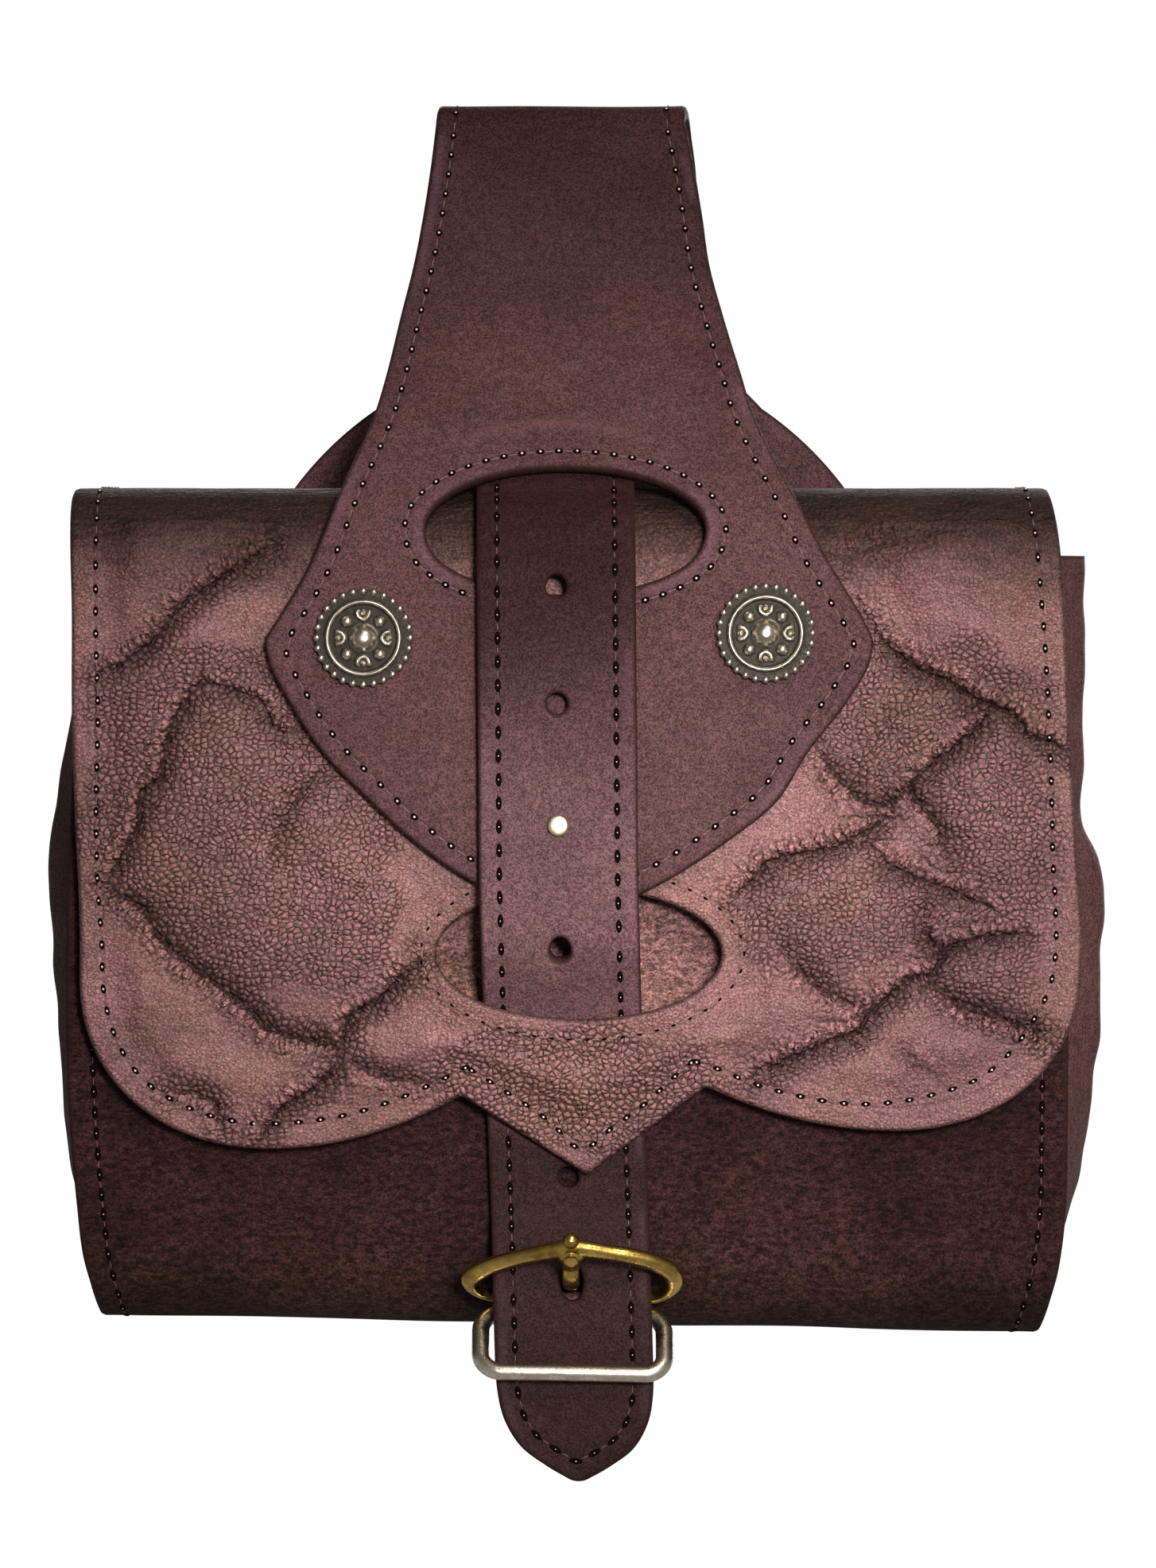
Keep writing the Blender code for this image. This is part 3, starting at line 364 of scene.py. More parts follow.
# Looks of the stitches: sizes of the thread and of the dark blob on each hole, a painted shade for its pit,
# as (outward, aside, along), and the dot's size. A look without a dot has none.
STITCH_LOOKS = {
    "deep": ((0.12, 0.14, 1.15), (0.2, 0.6, 0.85), 0.25),
    "fine": ((0.08, 0.13, 0.9), (0.19, 0.52, 0.95), 0.23),
    "pale": ((0.18, 0.24, 0.85), (0.08, 0.24, 0.5), None),
    "dark": ((0.03, 0.1, 0.7), (0.22, 0.6, 1.35), 0.13),
}
STITCH_END_RISE = 0.16


# ---- Shapes ----


def link(name, data):
    """A new object at the origin."""
    thing = bpy.data.objects.new(name, data)
    bpy.context.scene.collection.objects.link(thing)
    return thing


def smoothstep(low, high, value):
    share = np.clip((value - low) / (high - low), 0.0, 1.0)
    return share * share * (3 - 2 * share)


def read_table(rows, value, column=1):
    rows = sorted(rows)
    return np.interp(value, [row[0] for row in rows], [row[column] for row in rows])


def settle(x, y, z):
    """Where points go once the pouch is filled and hangs: the front swells and the bottom slopes."""
    forward = np.clip((BACK_IN - y) / (BACK_IN - PANEL_IN), 0.0, 1.0)
    across = np.cos(np.pi * x / SWELL_SPAN) ** 2
    down = np.clip((SWELL_TOP - z) / (SWELL_TOP - SWELL_BOTTOM), 0.0, 1.0)
    y = y - SWELL * forward * across * np.sin(np.pi * down) ** 2
    z = z - BOTTOM_SLOPE * x * smoothstep(SLOPE_FROM, POUCH_BOTTOM, z)
    return np.column_stack(np.broadcast_arrays(x, y, z - LOOP_TOP))


def resample(line, step, closed=False):
    """The line read again at an even step."""
    line = np.vstack((line, line[:1])) if closed else line
    run = np.concatenate(([0.0], np.cumsum(np.linalg.norm(np.diff(line, axis=0), axis=1))))
    count = max(2, round(run[-1] / step))
    spots = np.linspace(0, run[-1], count + 1)[: count if closed else None]
    return np.column_stack([np.interp(spots, run, column) for column in line.T])


def smooth_line(points, step, closed=False):
    """A line without corners through the points, read at an even step."""
    points = np.asarray(points, float)
    if closed:
        ring = np.vstack((points[-1:], points, points[:2]))
    else:
        ring = np.vstack((2 * points[0] - points[1], points, 2 * points[-1] - points[-2]))
    gaps = np.linalg.norm(np.diff(ring, axis=0), axis=1)[:, None]
    slopes = np.diff(ring, axis=0) / gaps
    ways = (slopes[:-1] * gaps[1:] + slopes[1:] * gaps[:-1]) / (gaps[:-1] + gaps[1:])
    t = np.linspace(0, 1, 16, endpoint=False)[:, None]
    parts = []
    for b, c, way_b, way_c, gap in zip(ring[1:-2], ring[2:-1], ways, ways[1:], gaps[1:-1]):
        start = (2 * t**3 - 3 * t**2 + 1) * b + (t**3 - 2 * t**2 + t) * gap * way_b
        parts.append(start + (3 * t**2 - 2 * t**3) * c + (t**3 - t**2) * gap * way_c)
    if not closed:
        parts.append(points[-1:])
    return resample(np.vstack(parts), step, closed)


class Bend:
    """A line in the YZ plane of straight runs joined by arcs, read by the distance s along it.

    Its corners are rows of (y, z, radius). The outward side is on the left of the way it goes.
    """

    def __init__(self, corners):
        points = [Vector(row[:2]) for row in corners]
        runs = []
        self.length = 0.0

        def add(point, way, length, curl):
            runs.append((self.length, point.x, point.y, math.atan2(way.y, way.x), curl))
            self.length += length

        here = points[0]
        for before, corner, after, row in zip(points, points[1:], points[2:], corners[1:]):
            way_in = (corner - before).normalized()
            way_out = (after - corner).normalized()
            turn = math.atan2(way_in.cross(way_out), way_in.dot(way_out))
            trim = row[2] * abs(math.tan(turn / 2))
            add(here, way_in, (corner - way_in * trim - here).dot(way_in), 0.0)
            if abs(turn) > 1e-6:
                arc = row[2] * abs(turn)
                add(corner - way_in * trim, way_in, arc, turn / arc)
            here = corner + way_out * trim
        add(here, (points[-1] - here).normalized(), (points[-1] - here).length, 0.0)
        self.runs = np.array(runs)
        self.spots = np.linspace(0, self.length, 6000)
        self.heights = self.place(self.spots)[:, 1]
        self.top = int(np.argmax(self.heights))

    def place(self, s, out=0.0):
        """The points (y, z) at s, moved outward from the line by out."""
        s = np.asarray(s, float)
        starts = self.runs[:, 0]
        start, y, z, angle, curl = self.runs[np.clip(np.searchsorted(starts, s, "right") - 1, 0, None)].T
        along = s - start
        turned = angle + curl * along
        rate = np.where(curl == 0, 1.0, curl)
        step_y = np.where(curl == 0, np.cos(angle) * along, (np.sin(turned) - np.sin(angle)) / rate)
        step_z = np.where(curl == 0, np.sin(angle) * along, (np.cos(angle) - np.cos(turned)) / rate)
        return np.column_stack((y + step_y - np.sin(turned) * out, z + step_z + np.cos(turned) * out))

    def at_height(self, z, front=True):
        """The s at which the line passes height z, on its way up the front or down the back."""
        if front:
            return np.interp(z, self.heights[: self.top + 1], self.spots[: self.top + 1])
        return np.interp(z, self.heights[self.top :][::-1], self.spots[self.top :][::-1])


class Hide:
    """One leather piece: where the points of its flat pattern go.

    relief moves the whole thickness outward and fine only the outer face; lean shifts x by height.
    """

    def __init__(self, bend, thick, relief=None, fine=None, lean=None):
        self.bend, self.thick, self.relief, self.fine, self.lean = bend, thick, relief, fine, lean

    def at(self, flat, out, fine=True):
        flat = np.asarray(flat, float)
        x = flat[:, 0]
        out = out + (self.relief(flat) if self.relief else 0.0)
        if self.fine and fine:
            out = out + self.fine(flat)
        y, z = self.bend.place(flat[:, 1], out).T
        if self.lean:
            x = x + read_table(self.lean, z)
        return settle(x, y, z)

    def outward(self, flat):
        """The outer face's directions: outward at flat points."""
        step = 0.4
        across = self.at(flat + (step, 0), self.thick) - self.at(flat - (step, 0), self.thick)
        along = self.at(flat + (0, step), self.thick) - self.at(flat - (0, step), self.thick)
        return unit(np.cross(across, along))

    def from_front(self, seen):
        """Flat points for points (x, z) seen from the front."""
        seen = np.asarray(seen, float)
        return np.column_stack((seen[:, 0], self.bend.at_height(seen[:, 1])))


def unit(vectors):
    return vectors / np.maximum(np.linalg.norm(vectors, axis=1), 1e-12)[:, None]


def ellipse(x, z, across, up, count):
    turns = np.linspace(0, 2 * np.pi, count, endpoint=False)
    return np.column_stack((x + across * np.cos(turns), z + up * np.sin(turns)))


def near_line(points, line, closed=False):
    """For each point its distance to the line, its side (1 on the left) and how far along that is."""
    points, line = np.asarray(points, float), np.asarray(line, float)
    line = np.vstack((line, line[:1])) if closed else line
    starts, ways = line[:-1], np.diff(line, axis=0)
    lengths = np.maximum(np.hypot(*ways.T), 1e-9)
    runs = np.cumsum(lengths) - lengths
    counts = np.ceil(lengths).astype(int)
    owners = np.repeat(np.arange(len(ways)), counts)
    shares = np.concatenate([(np.arange(count) + 0.5) / count for count in counts])
    tree = KDTree(len(owners))
    for spot, (x, s) in enumerate((starts[owners] + ways[owners] * shares[:, None]).tolist()):
        tree.insert((x, s, 0.0), spot)
    tree.balance()
    found = owners[np.array([tree.find((x, s, 0.0))[1] for x, s in points.tolist()], int)]
    best, side, along = np.full(len(points), np.inf), np.ones(len(points)), np.zeros(len(points))
    for shift in (0, -1, 1):
        piece = (found + shift) % len(ways) if closed else np.clip(found + shift, 0, len(ways) - 1)
        way = ways[piece]
        share = np.clip(((points - starts[piece]) * way).sum(axis=1) / lengths[piece] ** 2, 0, 1)
        off = points - starts[piece] - share[:, None] * way
        gap = np.hypot(*off.T)
        near = gap < best
        best = np.where(near, gap, best)
        side = np.where(near, np.sign(way[:, 0] * off[:, 1] - way[:, 1] * off[:, 0]), side)
        along = np.where(near, runs[piece] + share * lengths[piece], along)
    return best, side, along


def inside(points, loops):
    odd = np.zeros(len(points), bool)
    for loop in loops:
        for (x0, s0), (x1, s1) in zip(loop, np.roll(loop, -1, axis=0)):
            if s0 != s1:
                spans = (points[:, 1] > min(s0, s1)) & (points[:, 1] <= max(s0, s1))
                odd ^= spans & (points[:, 0] < x0 + (points[:, 1] - s0) * (x1 - x0) / (s1 - s0))
    return odd


def random_field(points, size, seed):
    """Smooth random values from -1 to 1 at flat points, changing over that size (across, along)."""
    scaled = np.asarray(points, float) / size
    return np.array([noise.noise((a, b, seed)) for a, b in scaled.tolist()])


def offset_loop(loop, distance):
    """The loop moved to the leather's side, without the points that come too close to it elsewhere.

    An outer loop runs counterclockwise and a hole clockwise, so that side is always the left.
    """
    ways = unit(np.roll(loop, -1, axis=0) - np.roll(loop, 1, axis=0))
    moved = loop + np.column_stack((-ways[:, 1], ways[:, 0])) * distance
    return moved[near_line(moved, loop, closed=True)[0] > 0.97 * distance]


def wind(loops):
    """The first loop counterclockwise and the others clockwise."""
    wound = []
    for number, loop in enumerate(loops):
        x, s = np.asarray(loop).T
        area = np.sum(x * np.roll(s, -1) - s * np.roll(x, -1))
        wound.append(np.asarray(loop) if (area > 0) == (number == 0) else np.asarray(loop)[::-1])
    return wound


def cut(loops, bands, insets):
    """Triangles that fill the loops: the loops' own points, rows just inside them, and a grid.

    bands are rows of (from s, to s, cell), so that what is seen less can be coarser.
    """
    half = np.abs(loops[0][:, 0]).max()
    grid = []
    for low, high, cell in bands:
        across = np.arange(-half, half + cell, cell)
        for row, s in enumerate(np.arange(low, high, cell * ROW_SHARE)):
            rest = np.full((len(across), 2), (s, cell))
            grid.append(np.column_stack((across + (row % 2) * cell / 2, rest)))
    grid = np.vstack(grid)
    grid = grid[inside(grid, loops)]
    gap = np.min([near_line(grid[:, :2], loop, closed=True)[0] for loop in loops], axis=0)
    spots = [grid[gap > insets[-1] + 0.45 * grid[:, 2]][:, :2]]
    spots += [offset_loop(loop, inset) for loop in loops for inset in insets]
    edges, first = [], 0
    for loop in loops:
        edges += [(first + i, first + (i + 1) % len(loop)) for i in range(len(loop))]
        first += len(loop)
    points = np.vstack(loops + spots)
    flat, _, faces, *_ = delaunay_2d_cdt([Vector(p) for p in points], edges, [], 0, 1e-6)
    flat, faces = np.array(flat), np.array(faces)
    faces = faces[inside(flat[faces].mean(axis=1), loops)]
    return flat, faces, edges


def make_mesh(name, points, faces, material, flat=None, fields=None):
    """A piece of the object from points in millimetres, with its flat pattern as UVs and named fields."""
    mesh = bpy.data.meshes.new(name)
    mesh.from_pydata((np.asarray(points) * MM).tolist(), [], faces)
    mesh.materials.append(material)
    mesh.shade_smooth()
    if flat is not None:
        corners = np.empty(len(mesh.loops), np.int32)
        mesh.loops.foreach_get("vertex_index", corners)
        layer = mesh.uv_layers.new(name="UVMap")
        layer.data.foreach_set("uv", (flat[corners] / 100).astype(np.float32).ravel())
    for field, values in (fields or {}).items():
        attribute = mesh.attributes.new(field, "FLOAT", "POINT")
        attribute.data.foreach_set("value", np.asarray(values, np.float32))
    return link(name, mesh)


def cut_leather(name, hide, loops, bands, material, round_edge=0.9, fields=None, small=0):
    """A piece of leather with rounded edges: a fine outer face, a plainer inner one, and its cut edge.

    The last loops, as many as small says, are punched holes that no seam follows. Its "edge" field is
    the distance to the nearest of the other loops and "rim" that to the nearest of them all.
    """
    loops = wind(loops)
    outer, outer_faces, edges = cut(loops, bands, (0.3 * round_edge, round_edge))
    inner, inner_faces, _ = cut(loops, [(0.0, hide.bend.length, BACK_CELL)], (0.6 * round_edge,))

    def drop(flat, radius):
        gaps = [near_line(flat, loop, closed=True)[0] for loop in loops]
        gap = np.min(gaps, axis=0)
        fall = radius - np.sqrt(np.maximum(radius**2 - (radius - np.minimum(gap, radius)) ** 2, 0.0))
        return np.min(gaps[: len(loops) - small], axis=0), gap, fall

    outer_edge, outer_rim, outer_drop = drop(outer, round_edge)
    inner_edge, inner_rim, inner_drop = drop(inner, 0.6 * round_edge)
    points = np.vstack((hide.at(outer, hide.thick - outer_drop), hide.at(inner, inner_drop, fine=False)))
    count = len(outer)
    faces = outer_faces.tolist() + (inner_faces[:, ::-1] + count).tolist()
    faces += [(b, a, a + count, b + count) for a, b in edges]
    flat = np.vstack((outer, inner))
    named = {"edge": np.append(outer_edge, inner_edge), "rim": np.append(outer_rim, inner_rim)}
    for field, values in (fields(outer) if fields else {}).items():
        named[field] = np.append(values, np.zeros(len(inner)))
    return make_mesh(name, points, faces, material, flat, named)


def sweep(line, plane, sizes, closed=True):
    """A bar along a line that lies in a plane: sizes are half its width there and half its thickness."""
    line, sizes = np.asarray(line, float), np.asarray(sizes, float)
    before, after = np.roll(line, 1, axis=0), np.roll(line, -1, axis=0)
    if not closed:
        before[0], after[-1] = line[0], line[-1]
    side = np.cross(unit(after - before), plane)
    turns = np.linspace(0, 2 * np.pi, BAR_SIDES, endpoint=False)
    points = (
        line[:, None]
        + side[:, None] * (sizes[:, :1] * np.cos(turns))[:, :, None]
        + np.asarray(plane)[None, None] * (sizes[:, 1:] * np.sin(turns))[:, :, None]
    ).reshape(-1, 3)
    faces, last = wrap(len(line), BAR_SIDES, closed), (len(line) - 1) * BAR_SIDES
    if not closed:
        faces += [tuple(range(BAR_SIDES)), tuple(range(last, last + BAR_SIDES))[::-1]]
    return points, faces


def wrap(rows, sides, closed=False):
    """Faces between rows of points, each as many as sides says."""
    faces = []
    for i in range(rows if closed else rows - 1):
        one, two = i * sides, (i + 1) % rows * sides
        for j in range(sides):
            k = (j + 1) % sides
            faces.append((one + j, one + k, two + k, two + j))
    return faces


def turned(centre, axis, profile, sides):
    """A shape turned round an axis: profile rows are (radius, rise), from its foot to its top."""
    axis = Vector(axis).normalized()
    one = axis.orthogonal().normalized()
    two = axis.cross(one)
    turns = np.linspace(0, 2 * np.pi, sides, endpoint=False)
    circle = np.outer(np.cos(turns), one) + np.outer(np.sin(turns), two)
    points = [np.asarray(centre) + circle * r + np.asarray(axis) * h for r, h in profile]
    last = (len(profile) - 1) * sides
    faces = wrap(len(profile), sides) + [tuple(range(sides))[::-1], tuple(range(last, last + sides))]
    return np.vstack(points), faces


def ball(centre, radius):
    turns = np.linspace(-1.5, 1.5, 10)
    return turned(centre, (0, -1, 0), [(radius * math.cos(t), radius * math.sin(t)) for t in turns], 20)


def join(parts):
    points, faces, first = [], [], 0
    for part_points, part_faces in parts:
        points.append(part_points)
        faces += [tuple(first + i for i in face) for face in part_faces]
        first += len(part_points)
    return np.vstack(points), faces


# ---- Bends, as in the part ----


def loop_bend():
    """Inner face of the belt loop: up the flap's front, over the belt and down the back."""
    bend = FRONT_SHOULDER + GAP
    shoulder = Vector((FLAP_OUT + FRONT_SHOULDER, FLAP_TOP - FRONT_SHOULDER + LEAF_LIFT))
    fold = Vector((0.0, LOOP_TOP - BELT_HALF_DEPTH))
    apart = fold - shoulder
    slant = math.atan2(apart.x, apart.y) + math.asin((bend - BELT_HALF_DEPTH) / apart.length)
    front_corner = (LEAF_IN, shoulder.y + bend * math.tan(slant / 2))
    top_front = (front_corner[0] + (LOOP_TOP - front_corner[1]) * math.tan(slant), LOOP_TOP)
    return Bend([
        (LEAF_IN, LOOP_TIP, 0.0),
        (*front_corner, bend),
        (*top_front, BELT_HALF_DEPTH),
        (BELT_HALF_DEPTH, LOOP_TOP, BELT_HALF_DEPTH),
        (BELT_HALF_DEPTH, PATCH["z"] - PATCH["radius"], 0.0),
    ])


def flap_bend():
    """Inner face of the flap: up the front, over the pouch and down its back."""
    top = FLAP_TOP - POUCH_HIDE
    return Bend([
        (FLAP_IN, FLAP_TIP["z"], 0.0),
        (FLAP_IN, top, FRONT_SHOULDER - POUCH_HIDE),
        (BACK_IN, top, BACK_SHOULDER - POUCH_HIDE),
        (BACK_IN, FLAP_BACK_END, 0.0),
    ])


def panel_bend():
    """Inner face of the front panel: down the back from its end, forward and up the front."""
    bottom = POUCH_BOTTOM + POUCH_HIDE
    radius = BOTTOM_BEND - POUCH_HIDE
    return Bend([
        (BELT_HALF_DEPTH, TURN_UP, 0.0),
        (BELT_HALF_DEPTH, bottom, radius),
        (PANEL_IN, bottom, radius),
        (PANEL_IN, MOUTH, 0.0),
    ])


def strap_bend(leaf):
    """Back face of the strap, from its tip up to its sewn end behind the leaf."""
    depths = {
        "bars": PIVOT[0] - BAR_RADIUS - 2 * GAP - BILLET_HIDE,
        "panel": PANEL_OUT - GAP,
        "leaf": STRAP_IN,
    }
    behind_leaf = -(LOOP_HIDE + GAP)
    ends = leaf.place([leaf.at_height(STRAP_ENTRY), leaf.at_height(STRAP_TOP)], behind_leaf)
    way = [(depths[over] - out, z, radius) for over, out, z, radius in STRAP_WAY]
    return Bend(way + [(*ends[0], 8.0), (*ends[1], 0.0)])


def billet_bend():
    """Inner face of the billet: forward under the pouch, up round both bars and down behind them."""
    clear = BAR_RADIUS + GAP
    under = RING_BAR[1] - clear
    tail = POUCH_BOTTOM - GAP
    return Bend([
        (BILLET_TAIL, tail, 0.0),
        (PANEL_IN + 4.0, tail, 8.0),
        (RING_BAR[0] + clear, under, 8.0),
        (RING_BAR[0] - clear, under, clear),
        (PIVOT[0] - clear, PIVOT[1] + clear, clear),
        (PIVOT[0] + clear, PIVOT[1] + clear, clear),
        (RING_BAR[0] + clear, RING_BAR[1], 0.0),
    ])


# ---- Flat patterns ----


def loop_outline(bend, step):
    """The loop's flat edge: up its right side from the tip, round the patch and back down."""
    heights = np.array([row[0] for row in LOOP_FRONT])
    sides = [
        smooth_line(np.column_stack(([row[column] for row in LOOP_FRONT], bend.at_height(heights))), step)
        for column in (2, 1)
    ]
    radius = PATCH["radius"]
    middle = float(bend.at_height(PATCH["z"], front=False))
    start = math.asin(PATCH["neck"] / radius)
    turns = np.linspace(start, 2 * math.pi - start, round(2 * math.pi * radius / step))
    patch = np.column_stack((PATCH["x"] + radius * np.sin(turns), middle - radius * np.cos(turns)))
    backs = []
    for side, front, end in ((1, sides[0], patch[0]), (-1, sides[1], patch[-1])):
        back = [(side * half, float(bend.at_height(z, front=False))) for z, half in LOOP_BACK]
        backs.append(smooth_line([front[-1], *back, end], step)[1:-1])
    return np.vstack(([(0.0, 0.0)], sides[0], backs[0], patch, backs[1][::-1], sides[1][::-1]))


def lobe(low, side, notch):
    """A flap lobe's edge, from the notch to its lowest point and round up to the side edge."""
    apart_x, apart_z = notch["x"] - low["x"], notch["z"] - low["z"]
    t = np.linspace(1, 0, 30)
    inner = np.column_stack((low["x"] + apart_x * t, low["z"] + apart_z * t * t))
    t = np.linspace(0, math.pi / 2, 50)[1:]
    x = low["x"] + (side[1] - low["x"]) * np.sin(t) ** LOBE_FULLNESS
    z = side[0] + (low["z"] - side[0]) * np.maximum(np.cos(t), 0) ** LOBE_FULLNESS
    return np.vstack((inner, np.column_stack((x, z))))


def flap_front_edge():
    """The flap's lower edge as seen from the front, from the left side to the right."""
    left = lobe(LEFT_LOBE, FLAP_LEFT[0], LEFT_NOTCH)[::-1]
    right = lobe(RIGHT_LOBE, FLAP_RIGHT[0], RIGHT_NOTCH)
    return np.vstack((left, [(FLAP_TIP["x"], FLAP_TIP["z"])], right))


def flap_turns(bend):
    """Where the flap's front ends at the top, and where its straight back begins."""
    top = float(bend.at_height(FLAP_TOP - POUCH_HIDE - 1.0))
    return top, float(bend.at_height(FLAP_TOP - BACK_SHOULDER, front=False))


def flap_outline(bend, step):
    edge = flap_front_edge()
    front = resample(np.column_stack((edge[:, 0], bend.at_height(edge[:, 1]))), step)
    top, back = flap_turns(bend)
    sides = []
    for number, table in ((1, FLAP_RIGHT), (0, FLAP_LEFT)):
        rows = [(x, float(bend.at_height(z))) for z, x in table]
        rows += [(FLAP_TOP_EDGES[number], top), (FLAP_BACK_EDGES[number], back)]
        rows.append((FLAP_BACK_EDGES[number], bend.length))
        sides.append(smooth_line(rows, step)[1:])
    end = resample(np.vstack((sides[0][-1:], sides[1][-1:])), step)[1:-1]
    return np.vstack((front, sides[0], end, sides[1][::-1]))


def slot_in(bend, slot, step):
    count = round(2 * math.pi * max(slot["across"], slot["up"]) / step)
    ring = ellipse(slot["x"], slot["z"], slot["across"], slot["up"], max(count, 16))
    return np.column_stack((ring[:, 0], bend.at_height(ring[:, 1])))


def panel_outline(bend, step):
    heights = [(bend.length - (MOUTH - z), left, right) for z, left, right in PANEL_EDGES]
    low = bend.length - (MOUTH - POUCH_BOTTOM) + BOTTOM_BEND / 2
    rows = [(0.0, *PANEL_BOTTOM_EDGES), (low, *PANEL_BOTTOM_EDGES)] + heights[::-1]
    rows.append((bend.length, *PANEL_TOP_EDGES))
    right = smooth_line([(row[2], row[0]) for row in rows], step)
    left = smooth_line([(row[1], row[0]) for row in rows], step)[::-1]
    top = resample(np.vstack((right[-1:], left[:1])), step)[1:-1]
    bottom = resample(np.vstack((left[-1:], right[:1])), step)[1:-1]
    return np.vstack((right, top, left, bottom))


def strap_outline(bend, step):
    half = STRAP_WIDTH / 2
    corners = [(width, s) for s, width in STRAP_POINT]
    point = smooth_line([(-0.6, 0.0), *corners, (half, STRAP_SHOULDER)], step)
    right = np.vstack((point[1:], resample(np.array([point[-1], (half, bend.length)]), step)[1:]))
    top = resample(np.array([(half, bend.length), (-half, bend.length)]), step)[1:-1]
    return np.vstack((right, top, right[::-1] * (-1, 1)))


# ---- Relief of the flap ----


def flap_seen(flat, bend):
    return np.column_stack((flat[:, 0], bend.place(flat[:, 1])[:, 1]))


def flap_room(seen):
    """How far each place is from the flap's edge, its slot and the belt loop's leaf."""
    leaf = [(right, z) for z, _, right in LOOP_FRONT] + [(left, z) for z, left, _ in LOOP_FRONT[::-1]]
    edge = np.vstack(([(-94.0, -70.0)], flap_front_edge(), [(94.0, -70.0)]))
    slot = ellipse(LOWER_SLOT["x"], LOWER_SLOT["z"], LOWER_SLOT["across"], LOWER_SLOT["up"], 48)
    room = np.minimum(near_line(seen, leaf, closed=True)[0], near_line(seen, slot, closed=True)[0])
    room = np.minimum(room, near_line(seen, edge)[0])
    room[inside(seen, [leaf])] = 0.0
    return room


def near_creases(seen, reach):
    """Each crease with the points within that reach of it: their numbers, distance, side and run."""
    for number, (width, rope_side, depth, points) in enumerate(CREASES):
        low, high = np.min(points, axis=0) - reach, np.max(points, axis=0) + reach
        here = np.flatnonzero(((seen > low) & (seen < high)).all(axis=1))
        if len(here):
            yield number, width, rope_side, depth, here, *near_line(seen[here], smooth_line(points, 1.0))


def flap_relief(bend):
    """The part's own relief: puffed cells between the creases, and the lip over the strap."""
    top = bend.at_height(FLAP_TURN)

    def relief(flat):
        seen = flap_seen(flat, bend)
        share = smoothstep(PRESSED, PRESSED + PUFF_RUN, flap_room(seen))
        valley = np.zeros(len(seen))
        for _, width, _, depth, here, gap, _, _ in near_creases(seen, 15.0):
            valley[here] = np.maximum(valley[here], np.exp(-((gap / width) ** 2)) * min(1.0, depth + 0.1))
        z = seen[:, 1]
        down = smoothstep(LIP["end"], LIP["full"], z) * smoothstep(LIP["top"], LIP["full"], z)
        aside = smoothstep(LIP["reach"], LIP["flat"], np.abs(seen[:, 0] - LOWER_SLOT["x"]))
        return (PUFF * share * (1 - valley) + LIP["height"] * down * aside) * (flat[:, 1] < top)

    return relief


def crease_fields(seen):
    """Round the creases: how deep they are, the crinkled ropes beside them, the dark slopes on their
    other side, and each place measured along the nearest crease and across it."""
    fields = np.zeros((5, len(seen)))
    fields[4] = 9.0
    for number, _, rope_side, depth, here, gap, side, run in near_creases(seen, 9.0):
        crease, rope, slope, along, across = fields[:, here]
        signed = gap * side * rope_side
        ends = depth * (smoothstep(0.0, 5.0, run) * smoothstep(0.0, 5.0, run.max() - run) * 0.5 + 0.5)
        spread = 1.0 + 0.4 * random_field(seen[here], 7.0, 20.0 + number)
        nearest = gap < np.abs(across)
        fields[:, here] = (
            np.where(nearest, ends, crease),
            np.maximum(rope, ends * np.exp(-(((signed - 1.7) / (1.7 * spread)) ** 2))),
            np.maximum(slope, ends * np.exp(-(((signed + 1.2) / (1.9 * spread)) ** 2))),
            np.where(nearest, run + 37.0 * number, along),
            np.where(nearest, signed, across),
        )
    return fields


def flap_fine(bend):
    """Sharp creases, raised ropes and the unevenness of soft leather, on the outer face only."""
    top = bend.at_height(FLAP_TURN)

    def fine(flat):
        seen = flap_seen(flat, bend)
        shown = smoothstep(1.0, 5.0, flap_room(seen)) * (flat[:, 1] < top)
        crease, rope, _, _, across = crease_fields(seen)
        uneven = 0.36 * random_field(flat, 16.0, 7.0) + 0.24 * random_field(flat, 6.5, 11.0)
        uneven += 0.1 * random_field(flat, (3.2, 2.4), 12.0)
        sharp = crease * np.exp(-((across / 0.8) ** 2))
        return uneven * (0.3 + 0.7 * shown) + shown * (0.8 * rope - sharp)

    return fine


def flap_fields(bend):
    def fields(flat):
        seen = flap_seen(flat, bend)
        crease, rope, slope, along, across = crease_fields(seen)
        front = (flat[:, 1] < bend.at_height(FLAP_TURN)) * smoothstep(-1.0, 2.5, flap_room(seen))
        pebble = np.zeros(len(seen))
        for x, z, half_x, half_z, amount in PEBBLED:
            away = np.hypot((seen[:, 0] - x) / half_x, (seen[:, 1] - z) / half_z)
            away += 0.35 * random_field(seen, 12.0, x)
            pebble = np.maximum(pebble, amount * smoothstep(1.15, 0.6, away))
        for _, _, _, depth, here, gap, _, _ in near_creases(seen, 12.0):
            pebble[here] = np.maximum(pebble[here], 0.85 * depth * np.exp(-((gap / 5.0) ** 2)))
        # high: where the flap's top is given painted shade, as it turns back and faces up
        high = smoothstep(FLAP_TOP - 24.0, FLAP_TOP - 6.0, seen[:, 1])
        return {
            "crease": crease * front,
            "rope": rope * front,
            "slope": slope * front,
            "along": along,
            "gap": across,
            "near": np.abs(across),
            "pebble": pebble * (1 - 0.7 * rope),
            "high": high,
        }

    return fields


# ---- Materials ----


